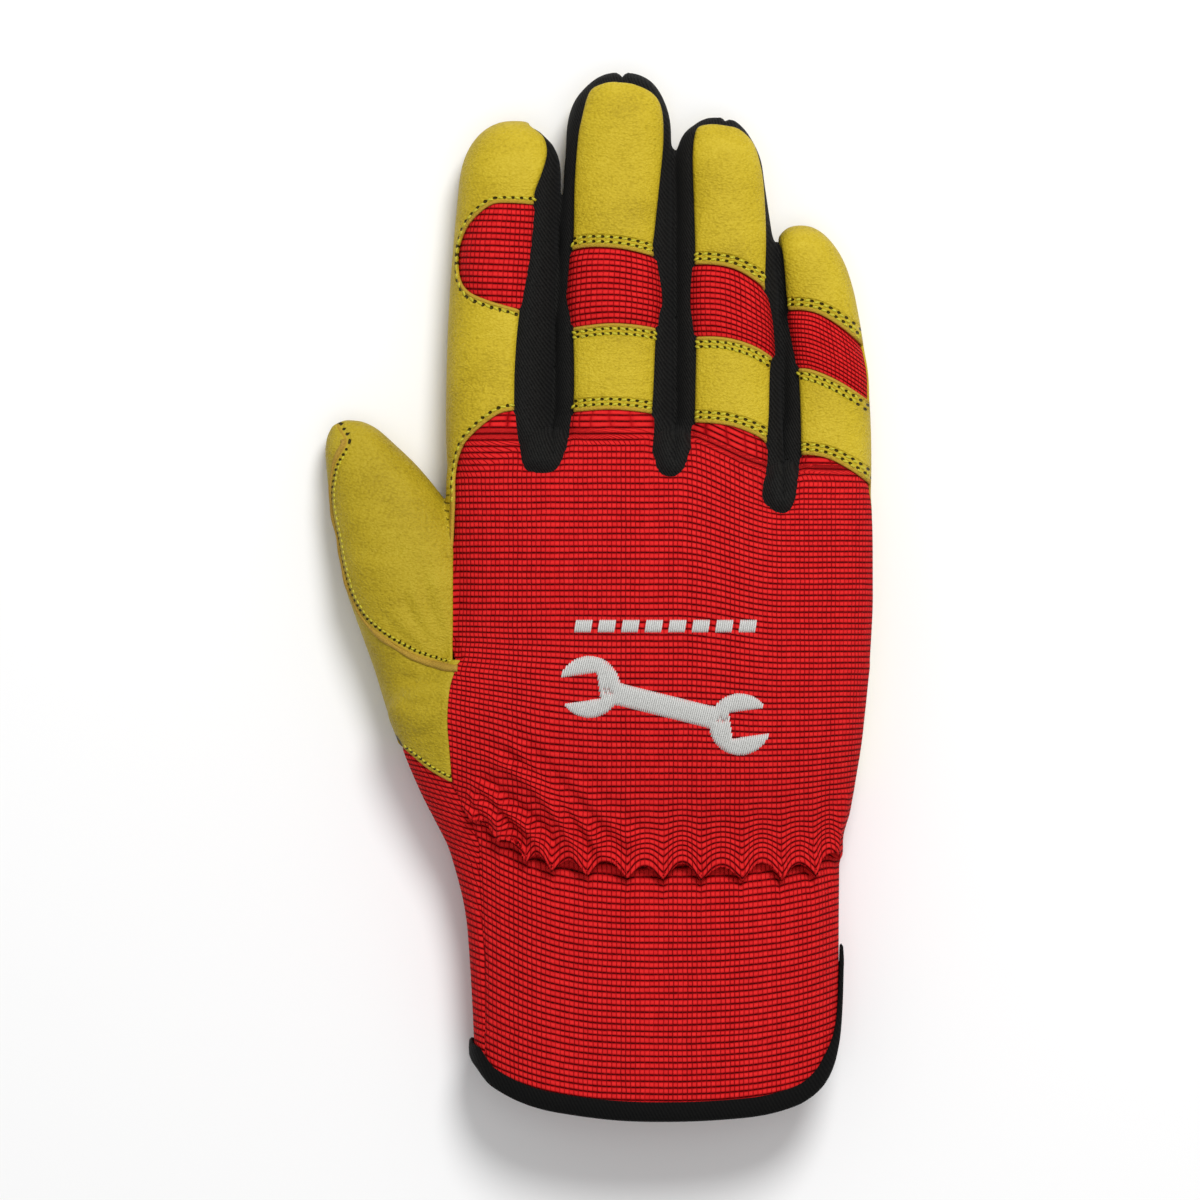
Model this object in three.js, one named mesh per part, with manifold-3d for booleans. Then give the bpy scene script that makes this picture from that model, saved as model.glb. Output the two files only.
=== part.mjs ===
// Slip-on mechanic glove for the right hand, filled out as on a hand and lying on its palm.
// Units are millimetres. +Y runs to the fingertips, +X to the little finger, +Z up out of the back of the
// hand. The origin is on the flat underside of the palm, in the middle of the hand.
import * as THREE from 'three';
import Module from 'manifold-3d';
import { mergeVertices } from 'three/addons/utils/BufferGeometryUtils.js';

const wasm = await Module();
wasm.setup();

// Driving dimensions
const palmWidth = 102;        // across the knuckles
const palmHeight = 34.5;      // filled thickness of the hand
const knuckleY = 44.4;        // where the index, middle and ring fingers part
const waistY = -54.7;         // the elastic line at the wrist
const waistWidth = 90;
const waistHeight = 30;
const cuffLength = 59.9;      // elastic line to the lowest point of the hem
const cuffWidth = 87;
const cuffHeight = 32;
const thenarReach = 65;       // thumb side of the hand, from the middle line
const wall = 1.2;             // fabric and leather thickness
const seamGap = 0.3;          // left open between two sewn pieces
const fingerGap = 0.9;        // crease between two neighbouring fingers
const littleDrop = 8.4;       // how much lower the little finger parts from the hand
const palmSeamZ = 9.2;        // height of the seam round the palm leather
const cuffSeamZ = 15;         // height of the cuff's side seams
const wristSeamY = -34.3;     // lower edge of the palm leather
const bindingWidth = 4.8;     // seen width of the hem binding
const bindingLeg = 0.9;       // thickness of one leg of the folded binding
const bindingClearance = 0.3; // between the binding and the fabric it folds over

const halfGap = seamGap / 2;
const halfPalm = palmWidth / 2;
const farOut = 3 * palmWidth; // past everything, for cutting

// The five lines between which the four fingers lie: place at the knuckles as a share of the palm's width,
// lean towards the tips, and bend, which grows with the square of the way up
const fingerLines = [
  { at: -0.5, lean: -0.01, bend: 0.0008 },
  { at: -0.251, lean: 0.012, bend: 0.0003 },
  { at: 0.034, lean: 0, bend: 0 },
  { at: 0.288, lean: 0.012, bend: -0.0012 },
  { at: 0.495, lean: 0.0, bend: -0.0025 },
];

// Length is from the finger's own root to its tip. Seams are shares of that length, at the thumb side
// and at the little finger side of each finger's back, with the rise of the curve between them.
const fingers = [
  { name: 'index', length: 80.1, height: 21, nose: 15, tipShift: 0 },
  { name: 'middle', length: 91.7, height: 22.5, nose: 17, tipShift: 0,
    cap: [0.537, 0.519, 1.4], insert: [0.335, 0.33, 1.3], band: [0.112, 0.106, 0.8] },
  { name: 'ring', length: 81.4, height: 21, nose: 15, tipShift: -0.5,
    cap: [0.56, 0.47, 3.0], insert: [0.349, 0.283, 2.2], band: [0.096, 0.023, 1.8] },
  { name: 'little', length: 63.6, height: 17.5, nose: 11, tipShift: -1.5,
    cap: [0.684, 0.54, 3.4], insert: [0.461, 0.338, 2.4], band: [0.13, 0.018, 2.2] },
];

// Black side wall seen beside each crease, in shares of a finger's mean width: on the finger towards
// the thumb (near) and on the one towards the little finger (far), from the crotch to the tips. Where it
// runs on round a fingertip, it shows there as a thin rim.
const sideWalls = [
  { bottom: 4.2, near: [0.36, 0.36, 0.25, 0.12], nearRim: true, far: [0.13, 0.11, 0.08, 0.08], farRim: true },
  { bottom: 5.4, near: [0.19, 0.14, 0.12, 0.07], nearRim: true, far: [0.145, 0.15, 0.15, 0.15], farRim: true },
  { bottom: 5.0, near: [0.1, 0.075, 0.06, 0.065], nearRim: true, far: [0.15, 0.15, 0.06, 0.05], farRim: false },
];
const tipRim = 1.2;           // seen width of the side wall round a fingertip

// Sections of the hand from the knuckles to the waist: share of the way, half widths as shares of the
// palm's half width (thumb side as a share of its reach where it bulges) and top as a share of the height
const handSections = [
  { at: 0.0, thumbSide: 0.978, bulge: 0, littleSide: 0.985, top: 0.77 },
  { at: 0.06, thumbSide: 0.998, bulge: 0, littleSide: 0.998, top: 0.84 },
  { at: 0.16, thumbSide: 1.0, bulge: 0, littleSide: 1.002, top: 0.91 },
  { at: 0.3, thumbSide: 0.992, bulge: 0, littleSide: 1.002, top: 0.965 },
  { at: 0.45, thumbSide: 0.985, bulge: 0.12, littleSide: 0.99, top: 0.99 },
  { at: 0.55, thumbSide: 0.985, bulge: 0.72, littleSide: 0.977, top: 1.0 },
  { at: 0.63, thumbSide: 0.985, bulge: 1.0, littleSide: 0.963, top: 1.0 },
  { at: 0.705, thumbSide: 0.985, bulge: 0.87, littleSide: 0.949, top: 0.99 },
  { at: 0.81, thumbSide: 0.985, bulge: 0.67, littleSide: 0.922, top: 0.96 },
];

// Hem line round the cuff, as a share of the cuff's length: 0 degrees is the little finger side, where
// a notch is cut, 90 the back of the hand and 180 the thumb side
const hemLine = [
  { angle: 0, drop: 0.4 },
  { angle: 4, drop: 0.43 },
  { angle: 9, drop: 0.57 },
  { angle: 15, drop: 0.71 },
  { angle: 22, drop: 0.8 },
  { angle: 32, drop: 0.88 },
  { angle: 45, drop: 0.94 },
  { angle: 66, drop: 0.985 },
  { angle: 90, drop: 1.0 },
  { angle: 120, drop: 0.965 },
  { angle: 150, drop: 0.875 },
  { angle: 168, drop: 0.79 },
  { angle: 185, drop: 0.76 },
  { angle: 210, drop: 0.8 },
  { angle: 245, drop: 0.87 },
  { angle: 290, drop: 0.89 },
  { angle: 320, drop: 0.87 },
  { angle: 334, drop: 0.81 },
  { angle: 345, drop: 0.69 },
  { angle: 352, drop: 0.55 },
  { angle: 356, drop: 0.43 },
];
const cuffOverrun = 14;       // how far the cuff is drawn past its hem before it is trimmed

// The elastic line at the wrist and the gathers beside it: height above the line, how far the fabric lies
// inside the plain form, how much every other fold moves in and down, and how far the hand's sides still
// stand out past the cuff there
const gathers = [
  { up: 10, inset: 0, ruffle: 0, sway: 0, thumbSide: 9.7, littleSide: 3.1 },
  { up: 2.8, inset: -0.4, ruffle: 0.9, sway: 1.2, thumbSide: 6.4, littleSide: 1.4 },
  { up: 0, inset: 1.6, ruffle: 0.4, sway: 0.6, thumbSide: 5.0, littleSide: 1.4 },
  { up: -3.2, inset: 0.4, ruffle: -0.8, sway: 0, thumbSide: 3.4, littleSide: 0.5 },
];
const waistLiftThumb = 8;     // how much higher the elastic line lies at the sides than on the back
const waistLiftLittle = 4;

// Thumb: its axis in plan, and sections along it as shares of its length, width and height
const thumb = { baseX: -46, baseY: -20, tipX: -77.3, tipY: 52.5, width: 32, height: 24 };
const thumbSections = [
  { at: -0.12, half: 0.36, shift: 0.0, top: 0.8 },
  { at: 0.0, half: 0.47, shift: -0.05, top: 0.9 },
  { at: 0.3, half: 0.5, shift: 0.03, top: 1.0 },
  { at: 0.5, half: 0.49, shift: 0.05, top: 0.98 },
  { at: 0.66, half: 0.42, shift: 0.06, top: 0.9 },
  { at: 0.775, half: 0.345, shift: 0.055, top: 0.8 },
  { at: 0.87, half: 0.262, shift: 0.04, top: 0.68 },
  { at: 0.935, half: 0.195, shift: 0.03, top: 0.58 },
  { at: 0.975, half: 0.125, shift: 0.015, top: 0.48 },
];

// Seam of the thumb's back piece: share of the thumb's length, and place across it as a share of the
// local half width, from the tip down the outer side and across to the hand
const thumbSeam = [
  { at: 1.15, across: -0.1 },
  { at: 0.93, across: -0.28 },
  { at: 0.86, across: -0.66 },
  { at: 0.75, across: -0.86 },
  { at: 0.6, across: -0.88 },
  { at: 0.46, across: -0.82 },
  { at: 0.375, across: -0.62 },
  { at: 0.3, across: -0.25 },
  { at: 0.235, across: 0.15 },
  { at: 0.19, across: 0.6 },
];

// Thumb side seam of the back panel: along the hand from the knuckles (0) to the waist (1), and in from
// the middle line as a share of half the palm's width
const backSeam = [
  { at: 0.105, across: 0.95 },
  { at: 0.25, across: 0.965 },
  { at: 0.46, across: 0.965 },
  { at: 0.515, across: 0.93 },
  { at: 0.58, across: 0.975 },
  { at: 0.7, across: 0.985 },
  { at: 0.8, across: 0.965 },
  { at: 0.95, across: 0.86 },
];

const fingerSides = 14;
const handSides = 48;
const thumbSides = 14;
const innerShare = 0.67;      // the inside of the fingers is drawn with fewer sides

// Shapes
const mix = (a, b, t) => a + (b - a) * t;
const power = (v, p) => Math.sign(v) * Math.abs(v) ** p;
const smooth = (t) => {
  const c = Math.min(1, Math.max(0, t));
  return c * c * (3 - 2 * c);
};

function solidOf(geometry) {
  const plain = geometry.index ? geometry.toNonIndexed() : geometry;
  plain.deleteAttribute('normal');
  plain.deleteAttribute('uv');
  const merged = mergeVertices(plain, 1e-4);
  const solid = new wasm.Manifold(new wasm.Mesh({
    numProp: 3,
    vertProperties: new Float32Array(merged.attributes.position.array),
    triVerts: new Uint32Array(merged.index.array),
  }));
  return solid;
}

// A closed solid through rings of points. Two end points close it by fans; without them it is a loop
// whose last ring meets the first. A ring with fewer points repeats some of them.
function loft(rings, firstPoint, lastPoint) {
  const sides = rings[0].length;
  const points = rings.flat();
  const index = [];
  const apart = (m, n) => points[m].some((value, axis) => value !== points[n][axis]);
  const addTriangle = (m, n, q) => {
    if (apart(m, n) && apart(n, q) && apart(q, m)) index.push(m, n, q);
  };
  const spans = firstPoint ? rings.length - 1 : rings.length;
  for (let r = 0; r < spans; r += 1) {
    const a = r * sides;
    const b = ((r + 1) % rings.length) * sides;
    for (let k = 0; k < sides; k += 1) {
      const next = (k + 1) % sides;
      addTriangle(a + k, a + next, b + k);
      addTriangle(a + next, b + next, b + k);
    }
  }
  if (firstPoint) {
    const lastRing = (rings.length - 1) * sides;
    const first = points.push(firstPoint, lastPoint) - 2;
    for (let k = 0; k < sides; k += 1) {
      const next = (k + 1) % sides;
      addTriangle(first, next, k);
      addTriangle(first + 1, lastRing + k, lastRing + next);
    }
  }
  let volume = 0;
  for (let i = 0; i < index.length; i += 3) {
    const [p, q, s] = index.slice(i, i + 3).map((n) => new THREE.Vector3(...points[n]));
    volume += p.dot(q.cross(s));
  }
  if (volume < 0) index.reverse();
  const geometry = new THREE.BufferGeometry();
  geometry.setAttribute('position', new THREE.Float32BufferAttribute(points.flat(), 3));
  geometry.setIndex(index);
  return solidOf(geometry);
}

// A point of an egg-shaped cross-section with a flattened underside. y is a number, or a function of
// the angle and x.
const topFullness = 2.4;
const lowFullness = 3.4;
const undersideDrop = 1.12;
const widestShare = 0.47;
function ringPoint(angle, { centre = 0, left, right, low, top, y }) {
  const middle = mix(low, top, widestShare);
  const c = Math.cos(angle);
  const s = Math.sin(angle);
  const fullness = s >= 0 ? topFullness : lowFullness;
  const reach = s >= 0 ? top - middle : undersideDrop * (middle - low);
  const x = centre + (c >= 0 ? right : left) * power(c, 2 / fullness);
  const z = Math.max(low, middle + reach * power(s, 2 / fullness));
  return [x, typeof y === 'function' ? y(angle, x) : y, z];
}

const evenAngles = (sides) => Array.from({ length: sides }, (_, k) => (k / sides) * 2 * Math.PI);
const ring = (angles, section) => angles.map((angle) => ringPoint(angle, section));
const fewerSides = (sides, inset) => (inset > 0 ? 2 * Math.round((innerShare * sides) / 2) : sides);

// Straight steps between the rows of a table, read at a place in its column
function readTable(table, column, place, key) {
  if (place <= table[0][column]) return table[0][key];
  for (let i = 1; i < table.length; i += 1) {
    if (place <= table[i][column]) {
      const t = (place - table[i - 1][column]) / (table[i][column] - table[i - 1][column]);
      return mix(table[i - 1][key], table[i][key], t);
    }
  }
  return table[table.length - 1][key];
}

// Fingers
const rootY = (i) => knuckleY - (i === 3 ? littleDrop : 0);
const tipY = (i) => rootY(i) + fingers[i].length;
function lineX(k, y) {
  const { at, lean, bend } = fingerLines[k];
  const up = y - knuckleY;
  return palmWidth * at + lean * up + bend * Math.max(0, up) ** 2;
}

// The first row of the taper lies inside the hand
const fingerTaper = [
  { at: -0.24, width: 0.7, low: 0.24, top: 0.9 },
  { at: -0.06, width: 0.97, low: 0.02, top: 1.12 },
  { at: 0.1, width: 1.0, low: 0, top: 1.1 },
  { at: 0.35, width: 1.0, low: 0, top: 1.03 },
  { at: 0.6, width: 0.985, low: 0, top: 0.99 },
  { at: 0.8, width: 0.97, low: 0, top: 0.95 },
];
const noseSteps = [1, 0.66, 0.38, 0.17, 0.045];
const tipShiftLead = 0.1;     // share of the length before the nose where the tip starts to lean
const fingerMiddle = 0.44;    // widest height of a finger, as a share of its height

// A finger in plan at a share of its length: its middle, and its half width, rounded off over the nose
function fingerPlan(i, at) {
  const { length, nose, tipShift } = fingers[i];
  const y = rootY(i) + at * length;
  const left = lineX(i, y) + (i > 0 ? fingerGap / 2 : 0);
  const right = lineX(i + 1, y) - (i < 3 ? fingerGap / 2 : 0);
  const round = Math.sqrt(1 - (1 - Math.min(1, ((1 - at) * length) / nose)) ** 2);
  const leanStart = 1 - nose / length - tipShiftLead;
  return {
    y,
    round,
    centre: (left + right) / 2 + tipShift * smooth((at - leanStart) / (1 - leanStart)),
    half: ((right - left) / 2) * readTable(fingerTaper, 'at', at, 'width') * round,
  };
}

const thinnest = 0.3;         // least half size of an inner section
const noseClearance = 1.2;    // noses before the tip that the taper's rows keep away
const noseDroop = 0.8;        // how early the underside of the nose rises
function fingerLoft(i, inset) {
  const { length, height, nose } = fingers[i];
  const section = (at) => {
    const { y, round, centre, half } = fingerPlan(i, at);
    const top = height * readTable(fingerTaper, 'at', at, 'top');
    const low = height * readTable(fingerTaper, 'at', at, 'low');
    const middle = fingerMiddle * top;
    const across = Math.max(thinnest, half - inset);
    return {
      centre,
      left: across,
      right: across,
      low: Math.min(middle - thinnest, low + middle * (1 - round ** noseDroop) + inset),
      top: Math.max(middle + thinnest, middle + (top - middle) * round - inset),
      y: y - inset * (1 - round),
    };
  };
  const places = fingerTaper.map((row) => row.at).filter((at) => (1 - at) * length > noseClearance * nose);
  places.push(...noseSteps.map((step) => 1 - (step * nose) / length));
  const angles = evenAngles(fewerSides(fingerSides, inset));
  const [first, last] = [section(places[0]), section(1)];
  return loft(
    places.map((at) => ring(angles, section(at))),
    [first.centre, first.y - 1, (first.low + first.top) / 2],
    [last.centre, last.y, (last.low + last.top) / 2],
  );
}

// Hand and cuff in one loft
const fold = bindingLeg + bindingClearance;
const handLength = knuckleY - waistY;
const handMiddle = 0.47;      // widest height of the hand, as a share of its height
const sideRounding = 0.12;    // how much the hand narrows where its front end is rounded
const hemDrop = (angle) => {
  const degrees = ((THREE.MathUtils.radToDeg(angle) % 360) + 360) % 360;
  return readTable([...hemLine, { ...hemLine[0], angle: 360 }], 'angle', degrees, 'drop') * cuffLength;
};
function waistLift(angle) {
  const side = Math.cos(angle);
  return (side < 0 ? waistLiftThumb : waistLiftLittle) * Math.abs(side) ** 2.5;
}
function littleSkew(x) {
  const [middle, little] = [lineX(2, knuckleY), lineX(3, knuckleY)];
  return littleDrop * smooth((x - middle) / (little - middle));
}

function handSection(row, inset, step = 0, shrink = 1) {
  const bulge = row.bulge * (thenarReach - halfPalm * row.thumbSide);
  const top = palmHeight * row.top;
  const middle = handMiddle * top;
  const narrowed = mix(1, shrink, sideRounding);
  return {
    left: (halfPalm * row.thumbSide + bulge) * narrowed - inset,
    right: halfPalm * row.littleSide * narrowed - inset,
    low: middle * (1 - shrink) + inset,
    top: middle + (top - middle) * shrink - inset,
    y: (angle, x) => knuckleY - row.at * handLength + step - littleSkew(x) * (1 - row.at) ** 2
      + waistLift(angle) * smooth(2 * row.at - 1),
  };
}

// The cuff from the waist (0) to past the hem (1). Its underside rises by the thickness of the binding's fold.
const cuffLean = 0.052;
const riseShare = 0.3;
function cuffSection(share, inset) {
  const halfWidth = mix(waistWidth, cuffWidth, share) / 2;
  const lean = mix(cuffLean, 0, share) * halfWidth;
  return {
    left: halfWidth + lean - inset,
    right: halfWidth - lean - inset,
    low: fold * smooth(share / riseShare) + inset,
    top: mix(waistHeight, cuffHeight, share) - inset,
    y: (angle) => mix(waistY + waistLift(angle), waistY - hemDrop(angle) - cuffOverrun, share),
  };
}

// The front end between the fingers is rounded in two steps beyond the knuckles
const frontSteps = [{ step: 5.2, shrink: 0.45 }, { step: 3.6, shrink: 0.78 }];
const frontEnd = 5.6;
const cuffShares = [0.3, 1];

// The elastic gathers the back of the hand and fades out round both sides
const gathered = (angle) => smooth(2 * Math.sin(angle) + 0.8) * smooth(3 * Math.cos(angle) + 2.9);
const gatherRing = (angles, row, wallInset) => angles.map((angle, k) => {
  const turn = (k % 2 ? 0.5 : -0.5) * gathered(angle);
  const section = cuffSection(0, row.inset * gathered(angle) + row.ruffle * turn + wallInset);
  return ringPoint(angle, {
    ...section,
    left: section.left + row.thumbSide,
    right: section.right + row.littleSide,
    y: waistY + waistLift(angle) + row.up + row.sway * turn,
  });
});

// Angles round the wrist: folds of an even width over the back, closer at the sides where the hem's notch
// is, and wider apart below
const foldWeights = [
  { angle: 0, weight: 1.9 },
  { angle: 30, weight: 1.6 },
  { angle: 60, weight: 1.05 },
  { angle: 130, weight: 1.05 },
  { angle: 160, weight: 1.4 },
  { angle: 200, weight: 1.4 },
  { angle: 235, weight: 0.75 },
  { angle: 300, weight: 0.75 },
  { angle: 335, weight: 1.6 },
  { angle: 360, weight: 1.9 },
];
const fineSteps = 720;
const foldAngles = (() => {
  const section = { ...cuffSection(0, 0), y: 0 };
  const sums = [0];
  for (let k = 0; k < fineSteps; k += 1) {
    const [from, to] = [k, k + 1].map((n) => (n / fineSteps) * 2 * Math.PI);
    const [a, b] = [from, to].map((angle) => new THREE.Vector3(...ringPoint(angle, section)));
    sums.push(sums[k] + a.distanceTo(b) * readTable(foldWeights, 'angle', THREE.MathUtils.radToDeg(from), 'weight'));
  }
  return evenAngles(handSides).map((turn) => {
    const wanted = (turn / (2 * Math.PI)) * sums[fineSteps];
    return (sums.findIndex((sum) => sum >= wanted) / fineSteps) * 2 * Math.PI;
  });
})();

// Away from the gathers every other point is left out, except round the notch
const notchTurn = 0.75;
const fewerAngles = foldAngles.map((angle, k) => (
  k % 2 && Math.cos(angle) < Math.cos(notchTurn) ? foldAngles[k - 1] : angle
));

function handLoft(inset) {
  const plain = [
    ...frontSteps.map(({ step, shrink }) => handSection(handSections[0], inset, step - inset, shrink)),
    ...handSections.map((row) => handSection(row, inset)),
  ];
  return loft(
    [
      ...plain.map((section) => ring(fewerAngles, section)),
      ...gathers.map((row) => gatherRing(row.ruffle ? foldAngles : fewerAngles, row, inset)),
      ...cuffShares.map((share) => ring(fewerAngles, cuffSection(share, inset))),
    ],
    [0, knuckleY + frontEnd - inset, handMiddle * palmHeight * handSections[0].top],
    [0, waistY - cuffLength - cuffOverrun, cuffHeight / 2],
  );
}

// Height of a line that runs beside the hem, at a distance from it measured along the fabric
const hemTurn = 0.05;
const steepest = 3;
function besideHemY(angle, distance) {
  const onHem = (turned) => new THREE.Vector3(...ringPoint(turned, { ...cuffSection(1, 0), y: -hemDrop(turned) }));
  const step = onHem(angle + hemTurn).sub(onHem(angle - hemTurn));
  const slope = step.y / Math.hypot(step.x, step.z);
  return waistY - hemDrop(angle) + distance * Math.min(steepest, Math.hypot(1, slope));
}

// A point of that line, inset from the outer face of the cuff
function besideHem(angle, distance, inset) {
  const y = besideHemY(angle, distance);
  const lift = waistLift(angle);
  const share = (waistY + lift - y) / (hemDrop(angle) + cuffOverrun + lift);
  return ringPoint(angle, { ...cuffSection(share, inset), y });
}

// Everything past the line
const hemAngles = fewerAngles.filter((angle, k) => angle !== fewerAngles[k - 1]);
const wallMargin = 0.6;
function pastHem(distance) {
  const end = waistY - 2 * cuffLength;
  const outer = hemAngles.map((angle) => besideHem(angle, distance, -wallMargin));
  return loft(
    [hemAngles.map((angle) => besideHem(angle, distance, wall + wallMargin)), outer, outer.map(([x, , z]) => [x, end, z])],
    [0, waistY - cuffLength + distance, cuffHeight / 2],
    [0, end - 1, cuffHeight / 2],
  );
}

// Thumb, in its own straight frame turned about Z
const thumbAlong = new THREE.Vector2(thumb.tipX - thumb.baseX, thumb.tipY - thumb.baseY);
const thumbLength = thumbAlong.length();
const thumbTurn = Math.atan2(thumbAlong.y, thumbAlong.x) - Math.PI / 2;

function fromThumb([x, y, z = 0]) {
  const c = Math.cos(thumbTurn);
  const s = Math.sin(thumbTurn);
  return [thumb.baseX + x * c - y * s, thumb.baseY + x * s + y * c, z];
}

function thumbLoft(inset) {
  const section = (row) => {
    const top = thumb.height * row.top;
    const slimmed = smooth((row.at - 0.8) / 0.25);
    const half = thumb.width * row.half - inset;
    return {
      centre: thumb.width * row.shift,
      left: half,
      right: half,
      low: 0.28 * top * slimmed + inset,
      top: top - inset,
      y: thumbLength * row.at - inset * slimmed,
    };
  };
  const angles = evenAngles(fewerSides(thumbSides, inset));
  const rings = thumbSections.map((row) => ring(angles, section(row)).map(fromThumb));
  const base = section(thumbSections[0]);
  const tip = section(thumbSections[thumbSections.length - 1]);
  return loft(
    rings,
    fromThumb([base.centre, base.y - 1, (base.low + base.top) / 2]),
    fromThumb([0, thumbLength - inset, (tip.low + tip.top) / 2]),
  );
}

// The whole hollow skin of the glove
const joined = (solids) => solids.reduce((sum, part) => sum.add(part));
const everyFinger = fingers.map((row, i) => i);
const skinForm = (inset) => joined([
  handLoft(inset), thumbLoft(inset), ...everyFinger.map((i) => fingerLoft(i, inset)),
]);
const skin = skinForm(0).subtract(skinForm(wall)).subtract(pastHem(fold));

// Cutting shapes
function prism(outline, from = -farOut, to = farOut) {
  const shape = new THREE.Shape(outline.map(([x, y]) => new THREE.Vector2(x, y)));
  const geometry = new THREE.ExtrudeGeometry(shape, { depth: to - from, bevelEnabled: false, steps: 1 });
  geometry.translate(0, 0, from);
  return solidOf(geometry);
}
const everywhere = [[-farOut, -farOut], [farOut, -farOut], [farOut, farOut], [-farOut, farOut]];
const aboveZ = (z) => prism(everywhere, z, farOut);
const belowZ = (z) => prism(everywhere, -farOut, z);
const biggest = (solid) => solid.decompose().reduce((best, part) => (part.volume() > best.volume() ? part : best));

// An outline moved outwards by a distance, with its corners kept
const sharpest = 0.35;
function grown(outline, by) {
  const points = outline.map(([x, y]) => new THREE.Vector2(x, y));
  const turn = Math.sign(THREE.ShapeUtils.area(points));
  const outwards = (a, b) => new THREE.Vector2(b.y - a.y, a.x - b.x).normalize().multiplyScalar(turn);
  return points.map((point, k) => {
    const before = outwards(points.at(k - 1), point);
    const after = outwards(point, points[(k + 1) % points.length]);
    const corner = before.clone().add(after).normalize();
    const reach = by / Math.max(sharpest, corner.dot(before));
    return [point.x + corner.x * reach, point.y + corner.y * reach];
  });
}

// Edge of the black side wall between finger i and the next, on the near or the far one
const wallLow = (i) => knuckleY - littleSkew(lineX(i + 1, knuckleY));
const meanWidth = (palmWidth - 3 * fingerGap) / fingers.length;
function wallEdge(i, side, y) {
  const shares = sideWalls[i][side];
  const at = ((y - wallLow(i)) / (Math.min(tipY(i), tipY(i + 1)) - wallLow(i))) * (shares.length - 1);
  const k = Math.min(shares.length - 2, Math.max(0, Math.floor(at)));
  const share = mix(shares[k], shares[k + 1], Math.min(1, Math.max(0, at - k)));
  return lineX(i + 1, y) + (side === 'near' ? -1 : 1) * share * meanWidth;
}

// That edge as points going up, and on round the fingertip to its middle
const edgeSteps = 5;
const pastTips = 4;
function wallSide(i, side) {
  const finger = side === 'near' ? i : i + 1;
  const outwards = side === 'near' ? 1 : -1;
  const { length, nose } = fingers[finger];
  const noseY = tipY(finger) - nose;
  const points = Array.from({ length: edgeSteps + 1 }, (_, k) => {
    const y = mix(wallLow(i), noseY, k / edgeSteps);
    return [wallEdge(i, side, y), y];
  });
  if (sideWalls[i][`${side}Rim`]) {
    const plan = fingerPlan(finger, 1 - nose / length);
    const inset = outwards * (plan.centre - points[edgeSteps][0]) + plan.half;
    for (const step of noseSteps.slice(1)) {
      const { centre, half, round, y } = fingerPlan(finger, 1 - (step * nose) / length);
      const across = Math.max(halfGap, half - mix(tipRim, inset, step));
      points.push([centre + outwards * across, y - tipRim * (1 - round)]);
    }
    points.push([fingerPlan(finger, 1).centre + outwards * halfGap, tipY(finger) - tipRim]);
  }
  points.push([points.at(-1)[0], Math.max(tipY(i), tipY(i + 1)) + pastTips]);
  return points;
}

// Outline of the side wall in plan, closed by a rounded end below the crotch
const crotchSteps = 6;
function wallOutline(i) {
  const [near, far] = [wallSide(i, 'near'), wallSide(i, 'far')];
  const [[left, start], [right]] = [near[0], far[0]];
  const arc = Array.from({ length: crotchSteps - 1 }, (_, k) => {
    const angle = Math.PI * (1 + (k + 1) / crotchSteps);
    return [
      (left + right) / 2 + ((right - left) / 2) * Math.cos(angle),
      start + sideWalls[i].bottom * Math.sin(angle),
    ];
  });
  return [...near.reverse(), ...arc, ...far];
}

// A cross seam on a finger's back, as points from the thumb side to the little finger side
const seamSteps = 5;
function crossSeam(i, [leftShare, rightShare, rise], shift) {
  const { length } = fingers[i];
  const points = [];
  for (let k = 0; k <= seamSteps; k += 1) {
    const t = k / seamSteps;
    const y = rootY(i) + length * mix(leftShare, rightShare, t) + rise * 4 * t * (1 - t) + shift;
    const x = mix(lineX(i, y), lineX(i + 1, y), mix(-0.06, 1.06, t));
    points.push([x, y]);
  }
  return points;
}

// Region between two cross seams of one finger, or between a seam and the tip
function fingerRegion(i, lower, upper) {
  const bottom = crossSeam(i, lower, halfGap);
  const top = upper ? crossSeam(i, upper, -halfGap)
    : [[lineX(i, tipY(i)) - pastTips, tipY(i) + pastTips], [lineX(i + 1, tipY(i)) + pastTips, tipY(i) + pastTips]];
  return prism([...bottom, ...top.reverse()], palmSeamZ + halfGap).intersect(fingerBand(i));
}

// The slice of space in which only finger i lies
function fingerBand(i) {
  const low = rootY(i) - 0.3 * fingers[i].length;
  const high = tipY(i) + pastTips;
  const steps = Array.from({ length: edgeSteps + 1 }, (_, k) => mix(low, high, k / edgeSteps));
  const left = steps.map((y) => [lineX(i, y) - (i === 0 ? farOut : 0), y]);
  const right = steps.map((y) => [lineX(i + 1, y) + (i === 3 ? farOut : 0), y]);
  return prism([...right, ...left.reverse()]);
}

const wallOutlines = sideWalls.map((row, i) => wallOutline(i));
const wallRooms = wallOutlines.map((outline) => prism(grown(outline, seamGap), palmSeamZ - halfGap));
const withoutWalls = (solid) => wallRooms.reduce((rest, room) => rest.subtract(room), solid);

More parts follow.
